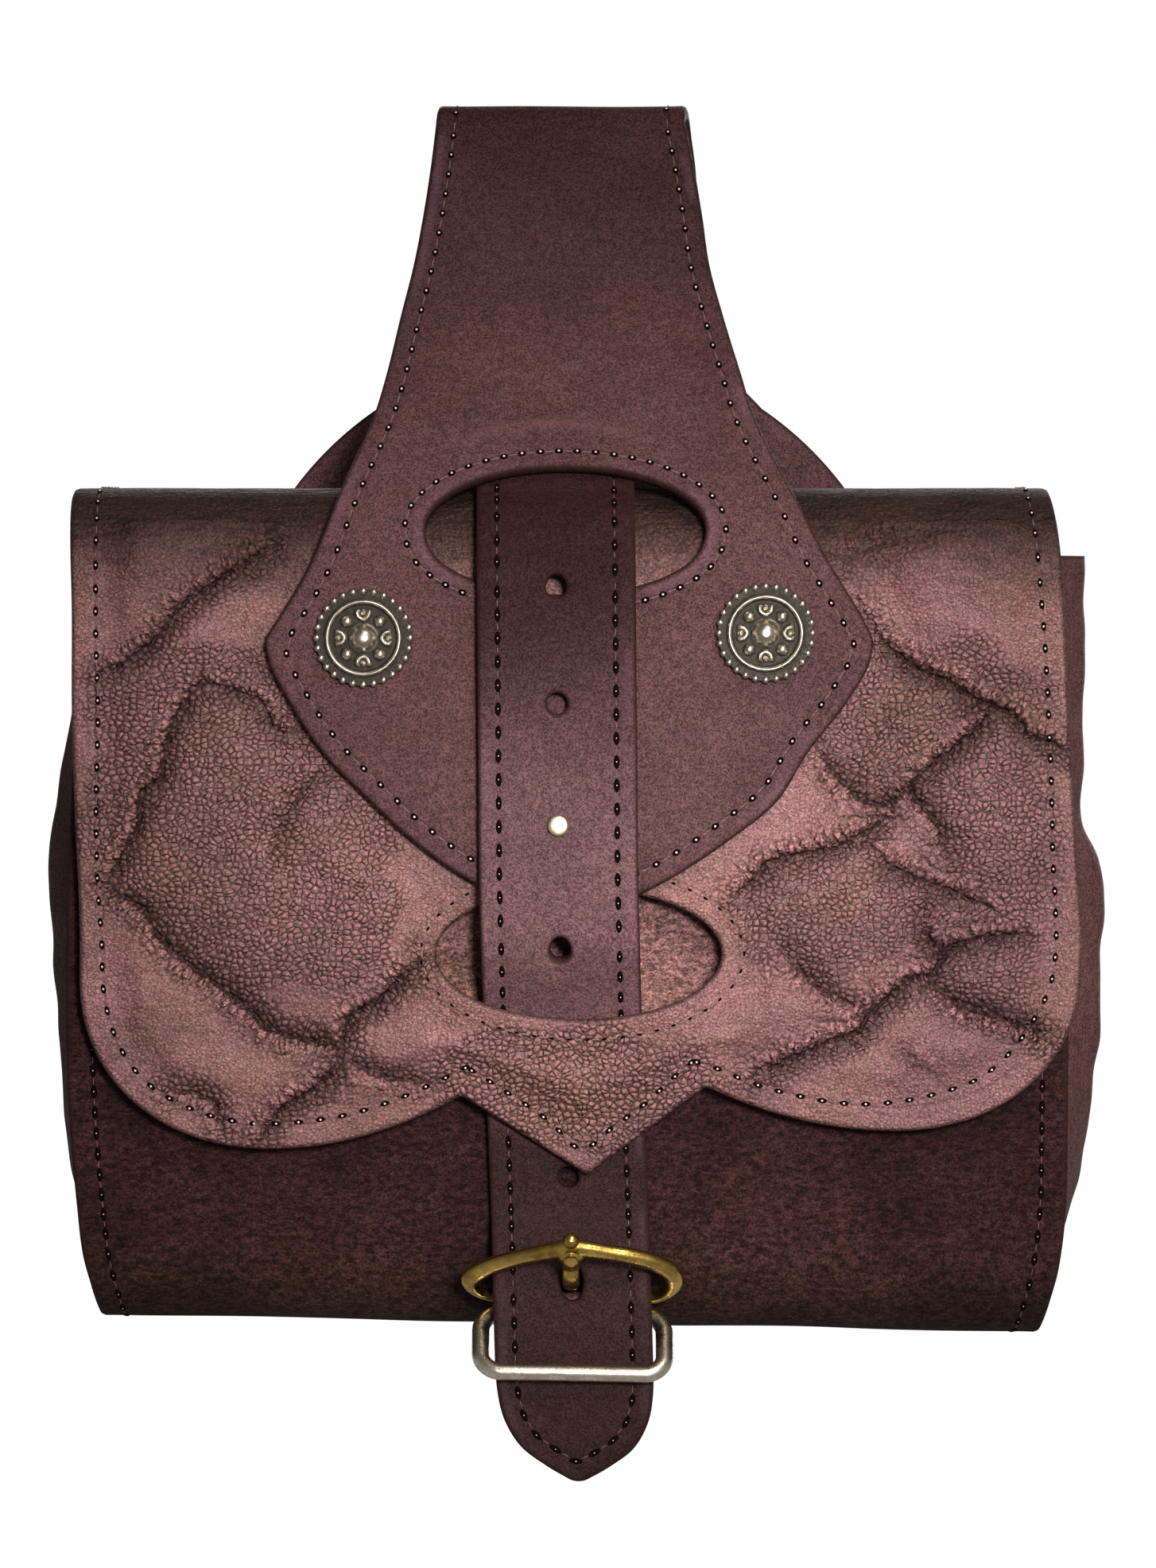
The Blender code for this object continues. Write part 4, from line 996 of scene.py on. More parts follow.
class Nodes:
    """A node tree: each call of node adds one, feeds its inputs and gives one of its outputs."""

    def __init__(self, tree, prefix="ShaderNode"):
        self.tree, self.prefix = tree, prefix

    def feed(self, socket, value):
        if isinstance(value, bpy.types.NodeSocket):
            self.tree.links.new(value, socket)
        else:
            socket.default_value = value

    def node(self, kind, inputs=None, output=0, **options):
        node = self.tree.nodes.new(self.prefix + kind)
        for option, value in options.items():
            setattr(node, option, value)
        for socket, value in (inputs or {}).items():
            self.feed(node.inputs[socket], value)
        return node.outputs[output]

    def remap(self, value, low, high, to_low=0.0, to_high=1.0, kind="SMOOTHSTEP"):
        inputs = {"Value": value, "From Min": low, "From Max": high, "To Min": to_low, "To Max": to_high}
        return self.node("MapRange", inputs, interpolation_type=kind)

    def for_camera(self, lit, shown, end):
        """What the camera sees is the shader shown, and what lights the rest is the shader lit."""
        seen = self.node("LightPath", output="Is Camera Ray")
        both = self.node("MixShader", {0: seen, 1: lit, 2: shown})
        self.feed(self.tree.nodes[end].inputs["Surface"], both)


class Shade(Nodes):
    """A Principled material and the nodes that feed it. Sizes are millimetres."""

    def __init__(self, name, colour=(0.5, 0.5, 0.5), gloss=0.5, **sockets):
        self.material = bpy.data.materials.new(name)
        self.material.use_nodes = True
        super().__init__(self.material.node_tree)
        self.shader = self.tree.nodes["Principled BSDF"]
        self.shader.inputs["Specular IOR Level"].default_value = gloss
        self.set(base_color=(*colour, 1.0), **sockets)

    def set(self, **sockets):
        for name, value in sockets.items():
            self.feed(self.shader.inputs[name.replace("_", " ").title()], value)

    def field(self, name):
        return self.node("Attribute", output="Fac", attribute_name=name)

    def flat(self, across, along=None):
        """The flat pattern's place, one unit for that many millimetres, off the noises' own lattice."""
        place = self.node("UVMap", uv_map="UVMap")
        size = (100 / across, 100 / (along or across), 1.0)
        return self.node("VectorMath", {0: place, 1: size, 2: (0.31, 0.17, 0.43)}, operation="MULTIPLY_ADD")

    def solid(self, size):
        """The object's own place, one unit for that many millimetres."""
        place = self.node("TexCoord", output="Object")
        return self.node("VectorMath", {0: place, 1: (1000 / size,) * 3}, operation="MULTIPLY")

    def noise(self, place, detail=2.0, roughness=0.5):
        inputs = {"Vector": place, "Scale": 1.0, "Detail": detail, "Roughness": roughness}
        return self.node("TexNoise", inputs, "Fac")

    def cells(self, place, feature, randomness):
        inputs = {"Vector": place, "Scale": 1.0, "Randomness": randomness}
        return self.node("TexVoronoi", inputs, "Distance", feature=feature, voronoi_dimensions="2D")

    def math(self, operation, *values):
        return self.node("Math", dict(enumerate(values)), operation=operation)

    def times(self, one, two):
        return self.math("MULTIPLY", one, two)

    def mix(self, factor, one, two, blend="MIX"):
        one, two = [c if isinstance(c, bpy.types.NodeSocket) else (*c, 1.0) for c in (one, two)]
        return self.node("Mix", {0: factor, 6: one, 7: two}, 2, data_type="RGBA", blend_type=blend)

    def warp(self, place, size_noise, amount):
        """The place shifted by a noise, so that what repeats there wanders."""
        shift = self.node("TexNoise", {"Vector": place, "Scale": size_noise, "Detail": 1.0}, "Color")
        shift = self.node("VectorMath", {0: shift, 1: (0.5, 0.5, 0.5)}, operation="SUBTRACT")
        shift = self.node("VectorMath", {0: shift, "Scale": amount}, operation="SCALE")
        return self.node("VectorMath", {0: place, 1: shift}, operation="ADD")

    def cobbles(self, place, randomness, amount):
        """Packed rounded grains: how high each place stands and how dark the gaps are."""
        high = self.remap(self.cells(place, "F1", randomness), 0.05, 0.6, 1.0, 0.0)
        gap = self.remap(self.cells(place, "DISTANCE_TO_EDGE", randomness), 0.0, 0.2, 1.0, 0.0)
        return self.times(high, amount), self.times(gap, amount)

    def grained(self, tone, warm, speck, mottle):
        """The tone of worn hide: patches of a warmer tint, and light and dark specks of two sizes."""
        patches = self.noise(self.flat(17.0), 3.0, 0.6)
        tone = self.mix(self.remap(patches, 0.42, 0.66, 0.0, mottle), tone, warm, "MULTIPLY")
        specks = self.noise(self.flat(0.32), 2.0, 0.6)
        clouds, grains = self.noise(self.flat(31.0, 23.0), 4.0, 0.6), self.noise(self.flat(1.4), 2.0)
        light = self.times(
            self.remap(clouds, 0.34, 0.66, 1 - 0.3 * mottle, 1 + 0.3 * mottle),
            self.remap(grains, 0.32, 0.68, 1 - 0.12 * speck, 1 + 0.12 * speck),
        )
        light = self.times(light, self.remap(specks, 0.34, 0.66, 1 - 0.5 * speck, 1 + 0.55 * speck))
        return self.mix(1.0, tone, light, "MULTIPLY"), specks

    def bump(self, *layers):
        """Heights in millimetres, laid one over the other."""
        normal = None
        for height, size in layers:
            inputs = {"Height": height, "Distance": size * MM, "Strength": 1.0}
            if normal is not None:
                inputs["Normal"] = normal
            normal = self.node("Bump", inputs, "Normal")
        self.set(normal=normal)


def smooth_leather(name, colour, settings, grain=1.0, low=None, edge_sheen=0.14):
    """Smooth hide: fine grain, soft mottling, dark burnished edges and a pressed line along its seam."""
    shade = Shade(name, gloss=0.07)
    edge, rim = shade.field("edge"), shade.field("rim")
    tone = colour
    # Painted shade: a strap's lower part darkens towards the colour low, below the flap's lip and down to its
    # tip.
    if low is not None:
        tone = shade.mix(shade.times(shade.field("low"), 0.95), tone, low)
    # Painted shade, by the "shade" field: darker towards the belt loop's top, near the strap's top end and on
    # the left gusset.
    tone = shade.mix(shade.times(shade.field("shade"), 0.95), tone, settings.shade_colour)
    tone, specks = shade.grained(tone, settings.warm_tint, grain, 0.4)
    # Painted light, by the "mark" field: a highlight along the line where the strap's sewn end shows through
    # the belt loop, and a lighter back leaf.
    tone = shade.mix(shade.times(shade.field("mark"), 0.55), tone, scaled(colour, 2.4))
    # Painted sheen: a pale band, in patches, on the bevel beside the edges.
    bevel = shade.times(shade.remap(edge, 0.5, 1.2), shade.remap(edge, 1.6, 3.0, 1.0, 0.0))
    patches = shade.noise(shade.flat(22.0), 2.0)
    bevel = shade.times(bevel, shade.remap(patches, 0.45, 0.62, 0.0, edge_sheen))
    tone = shade.mix(bevel, tone, settings.edge_sheen_colour)
    tone = shade.mix(shade.remap(rim, 0.1, 0.9, 0.85, 0.0), tone, settings.edge_colour)
    shade.set(base_color=tone, roughness=shade.remap(specks, 0.3, 0.7, 0.74, 0.54))
    line = shade.math("ABSOLUTE", shade.math("SUBTRACT", edge, settings.seam_inset / MM))
    shade.bump(
        (shade.remap(line, 0.0, 0.7, -1.0, 0.0), 0.12),
        (shade.noise(shade.flat(9.0, 5.0), 3.0, 0.6), 0.4 * grain),
        (shade.noise(shade.flat(1.3), 3.0, 0.65), 0.22 * grain),
        (specks, 0.14 * grain),
    )
    return shade.material


def creased_leather(settings):
    """Soft hide that was crumpled: pebbles, fine wrinkles, and dark creases with crinkled ropes."""
    deep, light = (0.11, 0.09, 0.08), (2.1, 2.1, 2.1)
    shade = Shade("creased leather", gloss=0.2)
    edge, rope, slope, gap = (shade.field(name) for name in ("edge", "rope", "slope", "gap"))
    pebbled, high = shade.remap(shade.field("pebble"), 0.1, 0.65), shade.field("high")

    # Rounded pebbles in rows that wander, on top of a finer grain that is everywhere.
    pebble_rise, pebble_gap_shade = shade.cobbles(shade.warp(shade.flat(1.35, 1.15), 0.2, 1.6), 0.92, pebbled)
    plain = shade.math("SUBTRACT", 1.0, shade.times(pebbled, 0.7))
    fine_rise, fine_gap_shade = shade.cobbles(shade.warp(shade.flat(0.95, 0.75), 0.35, 1.2), 1.0, plain)

    # The sharp middle of a crease wanders a little. "near" keeps it from places where "gap" changes sign
    # between two creases.
    wander = shade.times(shade.math("SUBTRACT", shade.noise(shade.flat(1.7), 3.0, 0.6), 0.5), 2.6)
    sharp = shade.remap(shade.math("ABSOLUTE", shade.math("ADD", gap, wander)), 0.1, 0.62, 1.0, 0.0)
    sharp = shade.times(sharp, shade.remap(shade.field("near"), 1.1, 1.8, 1.0, 0.0))
    sharp = shade.times(sharp, shade.field("crease"))

    # Short crinkles across the creases: they follow one another along "along" and run across with "gap".
    run = shade.math("DIVIDE", shade.field("along"), 1.7)
    place = shade.node("CombineXYZ", {0: run, 1: shade.math("DIVIDE", gap, 3.0)})
    crinkle_rise, crinkle_gap_shade = shade.cobbles(shade.warp(place, 0.9, 0.9), 0.9, rope)

    # Wrinkles across the top, where the flap turns back, and a few long ones everywhere.
    folds = shade.noise(shade.warp(shade.flat(9.0, 2.0), 0.4, 1.0), 3.0, 0.65)
    folded = shade.math("ADD", shade.times(high, 0.95), 0.12)

    # Painted shade: the flap darkens to its top's colour where it turns back and faces up.
    tone = shade.mix(shade.times(high, 0.95), settings.flap_colour, settings.flap_top_shade_colour)
    # Painted shade on the slope beside each crease, on the side away from its rope.
    tone = shade.mix(shade.times(slope, 0.72), tone, scaled(settings.crease_shade_colour, 2.0))
    tone, specks = shade.grained(tone, settings.warm_tint, 0.8, 0.6)
    wrinkles = shade.times(shade.remap(folds, 0.36, 0.5, 1.0, 0.0), folded)
    # Painted shade in the gaps between pebbles, fine grains and crinkles and in the folds' valleys, painted
    # highlights on the tops of pebbles and crinkles and on the ropes, and the pebbled patches a little
    # darker.
    for amount, share, shift in (
        (pebbled, 0.2, deep),
        (fine_gap_shade, 0.55, deep),
        (pebble_gap_shade, 0.95, deep),
        (pebble_rise, 0.34, light),
        (crinkle_gap_shade, 0.85, deep),
        (rope, 0.25, light),
        (crinkle_rise, 0.4, light),
        (wrinkles, 0.5, deep),
    ):
        tone = shade.mix(shade.times(amount, share), tone, shift, "MULTIPLY")
    # Painted shade in the creases' sharp middles.
    tone = shade.mix(shade.times(sharp, 0.92), tone, settings.crease_shade_colour)
    tone = shade.mix(shade.remap(edge, 0.2, 1.0, 0.7, 0.0), tone, settings.edge_colour)
    rough = shade.math("ADD", shade.remap(specks, 0.3, 0.7, 0.62, 0.42), shade.times(high, 0.2))
    shade.set(base_color=tone, roughness=rough)
    line = shade.math("ABSOLUTE", shade.math("SUBTRACT", edge, settings.flap_seam_inset / MM))
    shade.bump(
        (shade.remap(line, 0.0, 0.8, -1.0, 0.0), 0.16),
        (shade.noise(shade.flat(6.0, 4.0), 3.0, 0.6), 0.9),
        (shade.times(folds, folded), 0.9),
        (shade.times(sharp, -1.0), 0.4),
        (crinkle_rise, 1.1),
        (pebble_rise, 0.42),
        (fine_rise, 0.14),
        (specks, 0.12),
    )
    return shade.material


def dark_suede(settings):
    """Matt hide with a short nap: fine fibres across, warmer towards its lower bend."""
    shade = Shade("dark suede", gloss=0.08, roughness=0.85)
    fibres = shade.noise(shade.flat(1.4, 0.8), 4.0, 0.7)
    tone = shade.mix(shade.field("low"), settings.panel_colour, settings.panel_low_colour)
    tone = shade.mix(shade.field("covered"), tone, settings.covered_colour)
    tone, specks = shade.grained(tone, settings.warm_tint, 1.0, 1.0)
    tone = shade.mix(1.0, tone, shade.remap(fibres, 0.3, 0.7, 0.3, 1.75), "MULTIPLY")
    tone = shade.mix(shade.remap(shade.field("edge"), 0.2, 1.4, 0.6, 0.0), tone, settings.edge_colour)
    shade.set(base_color=tone)
    shade.bump((shade.noise(shade.flat(11.0, 7.0), 4.0, 0.65), 0.5), (fibres, 0.2), (specks, 0.12))
    return shade.material


def thread_material(settings):
    shade = Shade("thread", settings.thread_colour, roughness=0.7)
    inputs = {"Vector": shade.node("UVMap", uv_map="UVMap"), "Scale": 2.2, "Distortion": 0.0}
    shade.bump((shade.node("TexWave", inputs, "Fac", bands_direction="DIAGONAL"), 0.12))
    return shade.material


def plain_material(name, colour, roughness, gloss):
    shade = Shade(name, colour, gloss, roughness=roughness)
    shade.bump((shade.noise(shade.solid(0.4)), 0.02))
    return shade.material


def cast_metal(name, colour, low_colour, roughness, wear, cavity=False):
    """Cast metal gone dull: tarnish in patches and hollows, small dents and scratches."""
    shade = Shade(name, metallic=1.0)
    patches = shade.noise(shade.solid(5.0), 5.0, 0.65)
    fine = shade.noise(shade.solid(0.7), 4.0, 0.7)
    tarnish = shade.times(shade.remap(patches, 0.35, 0.65), wear)
    if cavity:
        hollow = shade.remap(shade.field("cavity"), 0.0, 1.0, 0.0, 0.97)
        tarnish = shade.math("MAXIMUM", tarnish, hollow)
    tone = shade.mix(tarnish, colour, low_colour)
    tone = shade.mix(shade.remap(fine, 0.4, 0.75, 0.0, 0.3), tone, low_colour)
    grain = shade.remap(fine, 0.2, 0.8, roughness, roughness + 0.15)
    shade.set(base_color=tone, roughness=shade.math("ADD", shade.times(tarnish, 0.25), grain))
    shade.bump((patches, 0.10), (fine, 0.035))
    return shade.material


# ---- Pieces ----


def show(thing, slot, *nodes):
    """The piece takes its place in the object, for the nodes it stands for."""
    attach(thing, BODY)
    if nodes:
        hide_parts(*nodes)
    return thing


def imprint(flat, bend):
    """How near each place is to the line where the strap's sewn end shows through the leaf."""
    z = bend.place(flat[:, 1])[:, 1]
    x = (flat[:, 0] - IMPRINT["x"]) / IMPRINT["half"]
    arch = IMPRINT["top"] - IMPRINT["drop"] * x**2 - IMPRINT["shoulder"] * np.clip(np.abs(x) - 0.85, 0, None)
    front = (flat[:, 1] < bend.at_height(-20.0)) * smoothstep(1.15, 0.95, np.abs(x))
    return np.exp(-(((z - arch) / IMPRINT["width"]) ** 2)) * front


def hanger_hide():
    bend = loop_bend()

    def fine(flat):
        return 0.4 * imprint(flat, bend) + 0.2 * random_field(flat, 19.0, 2.0)

    return Hide(bend, LOOP_HIDE, fine=fine)


def make_hanger(settings):
    hide = hanger_hide()
    bend = hide.bend

    def fields(flat):
        # Painted light: a highlight along the imprint's ridge, and the back leaf lighter.
        mark = imprint(flat, bend) * (0.5 + 0.5 * random_field(flat, 5.0, 3.0))
        behind = flat[:, 1] > bend.at_height(-40.0, front=False)
        # Painted shade: the belt loop darkens up towards its top, where it leans back.
        shaded = smoothstep(-62.0, -6.0, bend.place(flat[:, 1])[:, 1]) * 0.55
        return {"mark": np.maximum(mark, 0.4 * behind), "shade": shaded}

    loops = [loop_outline(bend, settings.edge_step / MM), slot_in(bend, UPPER_SLOT, EDGE_STEP)]
    bands = [(0.5, bend.at_height(-4.0), settings.smooth_cell / MM), (bend.at_height(-4.0), bend.length, 2.4)]
    leather = smooth_leather("smooth leather", settings.hanger_colour, settings)
    piece = cut_leather("belt_loop_leather", hide, loops, bands, leather, fields=fields)
    show(piece, "smooth_leather", "belt_loop")


def flap_hide():
    bend = flap_bend()
    return Hide(bend, POUCH_HIDE, relief=flap_relief(bend), fine=flap_fine(bend))


def make_flap(settings):
    hide = flap_hide()
    bend = hide.bend
    loops = [flap_outline(bend, settings.edge_step / MM), slot_in(bend, LOWER_SLOT, EDGE_STEP)]
    over = bend.at_height(FLAP_TOP - 6.0)
    bands = [(0.5, over, settings.creased_cell / MM), (over, bend.length, 2.2)]
    leather = creased_leather(settings)
    piece = cut_leather("flap_leather", hide, loops, bands, leather, fields=flap_fields(bend))
    show(piece, "creased_leather", "flap")


def panel_hide():
    return Hide(panel_bend(), POUCH_HIDE, fine=lambda flat: 0.35 * random_field(flat, (30.0, 14.0), 5.0))


def make_panel(settings):
    hide = panel_hide()
    bend = hide.bend

    def fields(flat):
        z = bend.place(flat[:, 1], POUCH_HIDE)[:, 1]
        covered = smoothstep(-186.0, -176.0, z) * smoothstep(80.0, 60.0, np.abs(flat[:, 0]))
        covered *= flat[:, 1] > bend.length / 2
        return {"low": smoothstep(POUCH_BOTTOM + 22.0, POUCH_BOTTOM + 4.0, z) * 0.9, "covered": covered}

    loops = [panel_outline(bend, settings.edge_step / MM)]
    bands = [(0.5, bend.length, settings.plain_cell / MM)]
    piece = cut_leather("front_panel_leather", hide, loops, bands, dark_suede(settings), fields=fields)
    show(piece, "dark_suede", "body_front")


def panel_edge(z, column):
    rows = ((MOUTH, *PANEL_TOP_EDGES), *PANEL_EDGES, (POUCH_BOTTOM, *PANEL_BOTTOM_EDGES))
    return np.abs(read_table(rows, z, column))


def make_gusset(name, side, column, material):
    """One side gusset: rows of its outer face down to the pouch's bottom, thickened inward."""
    radius = BOTTOM_BEND - POUCH_HIDE - GAP
    bend_top = POUCH_BOTTOM + BOTTOM_BEND
    spots = GUSSET_SPOTS
    heights = np.linspace(GUSSET_TOP, bend_top, GUSSET_ROWS)
    turns = np.linspace(0, np.pi / 2, GUSSET_BOTTOM_ROWS)[1:]
    heights = np.append(heights, bend_top - radius * np.sin(turns))
    reach_line = smooth_line([(row[0], row[column]) for row in GUSSET_REACH[::-1]], 1.0)
    outer = []
    for z in heights:
        fall = max(bend_top - z, 0.0)
        inward = radius - math.sqrt(max(radius**2 - fall**2, 0.0))
        front = PANEL_IN + GAP + inward
        back = min(BACK_IN - GAP, BELT_HALF_DEPTH - GAP - inward)
        corner = float(panel_edge(z, column)) - FLANGE_INSET
        middle = max(float(np.interp(z, *reach_line.T)), corner + GUSSET_LEAST)
        line = Bend([
            (corner - FLANGE, front, 0.0),
            (corner, front, GUSSET_BEND),
            (middle, (front + back) / 2, GUSSET_BELLY),
            (corner, back, GUSSET_BEND),
            (corner - FLANGE, back, 0.0),
        ])
        x, y = line.place(np.linspace(0, line.length, spots)).T
        outer.append(np.column_stack((side * x, y, np.full(spots, z))))
    outer = np.array(outer)
    normal = np.cross(np.gradient(outer, axis=0), np.gradient(outer, axis=1)) * side
    normal /= np.maximum(np.linalg.norm(normal, axis=2), 1e-9)[:, :, None]
    share = np.linspace(0, 1, spots)[None, :]
    flat = np.dstack(np.broadcast_arrays(share * 60 + side, -outer[:, :, 2])).reshape(-1, 2)
    belly = np.sin(np.pi * share) ** 2
    dents = random_field(flat, (18.0, 7.0), 9.0 * side).reshape(len(heights), spots) * 0.5 * belly
    outer = outer + normal * dents[:, :, None]
    inner = outer - normal * GUSSET_HIDE
    points = np.vstack([settle(*layer.reshape(-1, 3).T) for layer in (outer, inner)])
    count = len(heights) * spots
    number = np.arange(count).reshape(len(heights), spots)
    corners = (number[:-1, :-1], number[1:, :-1], number[1:, 1:], number[:-1, 1:])
    faces = np.column_stack([part.ravel() for part in corners])[:, ::side]
    rim = np.concatenate((number[:, 0], number[-1, 1:], number[-2::-1, -1], number[0, -2:0:-1]))
    rim = rim[::side]
    after = np.roll(rim, -1)
    walls = np.column_stack((after, rim, rim + count, after + count))
    faces = np.vstack((faces, faces[:, ::-1] + count, walls))
    ends = np.tile(np.repeat(np.minimum(np.arange(len(heights)), 9) * 1.2, spots), 2)
    # Painted shade: the left gusset is darkened through its "shade" field.
    fields = {"edge": ends, "rim": ends, "shade": np.full(2 * count, 0.6 if side < 0 else 0.0)}
    return make_mesh(name + "_leather", points, faces.tolist(), material, np.vstack((flat, flat)), fields)


def make_gussets(settings):
    leather = smooth_leather("gusset leather", settings.gusset_colour, settings, 1.2, edge_sheen=0.0)
    for name, side, column in (("gusset_left", -1, 1), ("gusset_right", 1, 2)):
        show(make_gusset(name, side, column, leather), "smooth_leather", name)


def strap_hide():
    def fine(flat):
        return 0.12 * random_field(flat, (9.0, 22.0), 4.0)

    return Hide(strap_bend(loop_bend()), LOOP_HIDE, fine=fine, lean=STRAP_MIDDLE)


def make_strap(settings):
    hide = strap_hide()
    bend = hide.bend
    radius = STRAP_HOLE / 2
    holes = [dict(x=0.0, z=z, across=radius, up=radius) for z in STRAP_HOLES] + [PRONG_HOLE]
    loops = [strap_outline(bend, EDGE_STEP)] + [slot_in(bend, hole, HOLE_STEP) for hole in holes]
    bands = [(0.5, bend.length, settings.strap_cell / MM)]

    def fields(flat):
        z = bend.place(flat[:, 1])[:, 1]
        # Painted shade: darker below the flap's lip down to the tip ("low"), and darker up towards the slot
        # at its top ("shade").
        return {"low": smoothstep(-176.0, -196.0, z), "shade": smoothstep(-140.0, -84.0, z)}

    colour, low = settings.strap_colour, settings.strap_low_shade_colour
    leather = smooth_leather("strap leather", colour, settings, low=low, edge_sheen=0.07)
    piece = cut_leather("strap_leather", hide, loops, bands, leather, 0.8, fields=fields, small=len(holes))
    show(piece, "smooth_leather", "strap")
    make_billet(leather)


def rectangle(half, low, high):
    """A rectangle round the buckle's middle, as a closed line."""
    corners = np.array(((-half, low), (half, low), (half, high), (-half, high))) + (BUCKLE_X, 0)
    return resample(corners, EDGE_STEP, closed=True)


def make_billet(leather):
    bend = billet_bend()
    low = float(bend.at_height(PIVOT[1] + BILLET_SLOT[0]))
    high = float(bend.at_height(PIVOT[1] + BILLET_SLOT[1], front=False))
    outline = rectangle(BILLET_HALF_WIDTH, 0, bend.length)
    slot = rectangle(PRONG_HALF_WIDTH + 2 * GAP, low, high)
    hide = Hide(bend, BILLET_HIDE)
    bands = [(0.5, bend.length, 1.2)]
    billet = cut_leather("billet_leather", hide, [outline, slot], bands, leather, 0.5)
    show(billet, "smooth_leather", "buckle_billet")


def show_cast(name, shape, metal, slot, node):
    points, faces = shape
    show(make_mesh(name, settle(*points.T), faces, metal), slot, node)


def make_buckle(settings):
    """The brass frame with its knob, the prong, and the ring below."""
    brass = cast_metal("antique brass", settings.brass_colour, srgb(78, 60, 14), 0.12, 0.75)
    across = np.array((1.0, 0.0, 0.0))
    up = np.array((0.0, -math.sin(FRAME_LEAN), math.cos(FRAME_LEAN)))
    over = np.array((0.0, -math.cos(FRAME_LEAN), -math.sin(FRAME_LEAN)))
    base = np.array((FRAME_X, *PIVOT))
    table = smooth_line(FRAME_LINE, 0.6, closed=True)
    line = base + table[:, :1] * across + table[:, 1:2] * up
    bar = sweep(line, -over, table[:, 2:])
    knob = ball(base + up * (FRAME_PEAK + KNOB_RISE), KNOB_RADIUS)
    collar = turned(base + up * COLLAR_RISE, up, COLLAR_PROFILE, BAR_SIDES)
    show_cast("buckle_frame_brass", join([bar, knob, collar]), brass, "antique_brass", "buckle_frame")

    hub = PIVOT_RADIUS + GAP + PRONG_HALF_THICK
    turns = np.radians(np.linspace(*PRONG_HOOK, 7))
    line = [(FRAME_X, PIVOT[0] + hub * math.cos(t), PIVOT[1] + hub * math.sin(t)) for t in turns]
    line += [(FRAME_X, *point) for point in PRONG_LINE]
    seat = base + up * (FRAME_PEAK - 0.3) + over * (KNOB_RADIUS + GAP + PRONG_HALF_THICK + 0.35)
    line += [tuple(seat - up * PRONG_REST), tuple(seat)]
    line = smooth_line(line, 0.35)
    left = np.linalg.norm(line - line[-1], axis=1)
    taper = np.sqrt(np.clip(1 - (1 - np.clip(left / PRONG_POINT, 0, 1)) ** 2, 0.04, 1))
    wide = PRONG_HALF_WIDTH * taper * (0.9 + 0.1 * np.clip(left / PRONG_TAPER, 0, 1))
    prong = sweep(line, across, np.column_stack((PRONG_HALF_THICK * taper, wide)), closed=False)
    show_cast("buckle_prong_brass", prong, brass, "antique_brass", "buckle_prong")

    down = np.array((0.0, -math.sin(RING_LEAN), -math.cos(RING_LEAN)))
    base = np.array((BUCKLE_X, *RING_BAR))
    aside, end = RING_HALF_WIDTH - RING_CORNER, RING_LENGTH - RING_CORNER
    corners = ((aside, RING_CORNER), (aside, end), (-aside, end), (-aside, RING_CORNER))
    table = []
    for quarter, (x, t) in enumerate(corners):
        for turn in np.radians(np.linspace(-90, 0, 12) + 90 * quarter):
            table.append((x + RING_CORNER * math.cos(turn), t + RING_CORNER * math.sin(turn)))
    table = resample(np.array(table), 0.7, closed=True)
    line = base + table[:, :1] * across + table[:, 1:] * down
    ring = sweep(line, np.cross(across, down), np.full((len(line), 2), BAR_RADIUS))
    nickel = cast_metal("nickel", settings.nickel_colour, srgb(110, 90, 66), 0.16, 0.4)
    show_cast("keeper_ring_nickel", ring, nickel, "nickel", "keeper_ring")


def concho_height(x, z):
    """Height of the cast disc over its back at places measured from its middle."""
    radius = np.hypot(x, z)
    height = np.interp(radius, *np.array(CONCHO_PROFILE).T)
    for quarter in np.radians((0, 90, 180, 270)):
        dome, ring = CONCHO_DOMES, CONCHO_DOMES["ring"]
        turn = quarter + math.radians(45)
        away = np.hypot(x - ring * math.cos(turn), z - ring * math.sin(turn)) / dome["radius"]
        rise = dome["height"] * np.sqrt(np.clip(1 - away**2, 0, 1))
        height = np.maximum(height, CONCHO_FLOOR + rise)

        out = x * math.cos(quarter) + z * math.sin(quarter) - CONCHO_ARCS["ring"]
        aside = z * math.cos(quarter) - x * math.sin(quarter)
        gap = np.abs(np.hypot(out - CONCHO_ARCS["shift"], aside) - CONCHO_ARCS["radius"])
        arc = smoothstep(0.55, 0.0, gap) * smoothstep(1.3, 0.6, out)
        bud = smoothstep(0.7, 0.1, np.hypot(out - CONCHO_BUD["shift"], aside))
        height = np.maximum(height, CONCHO_FLOOR + CONCHO_ARCS["height"] * arc)
        height = np.maximum(height, CONCHO_FLOOR + CONCHO_BUD["height"] * bud)
    return height


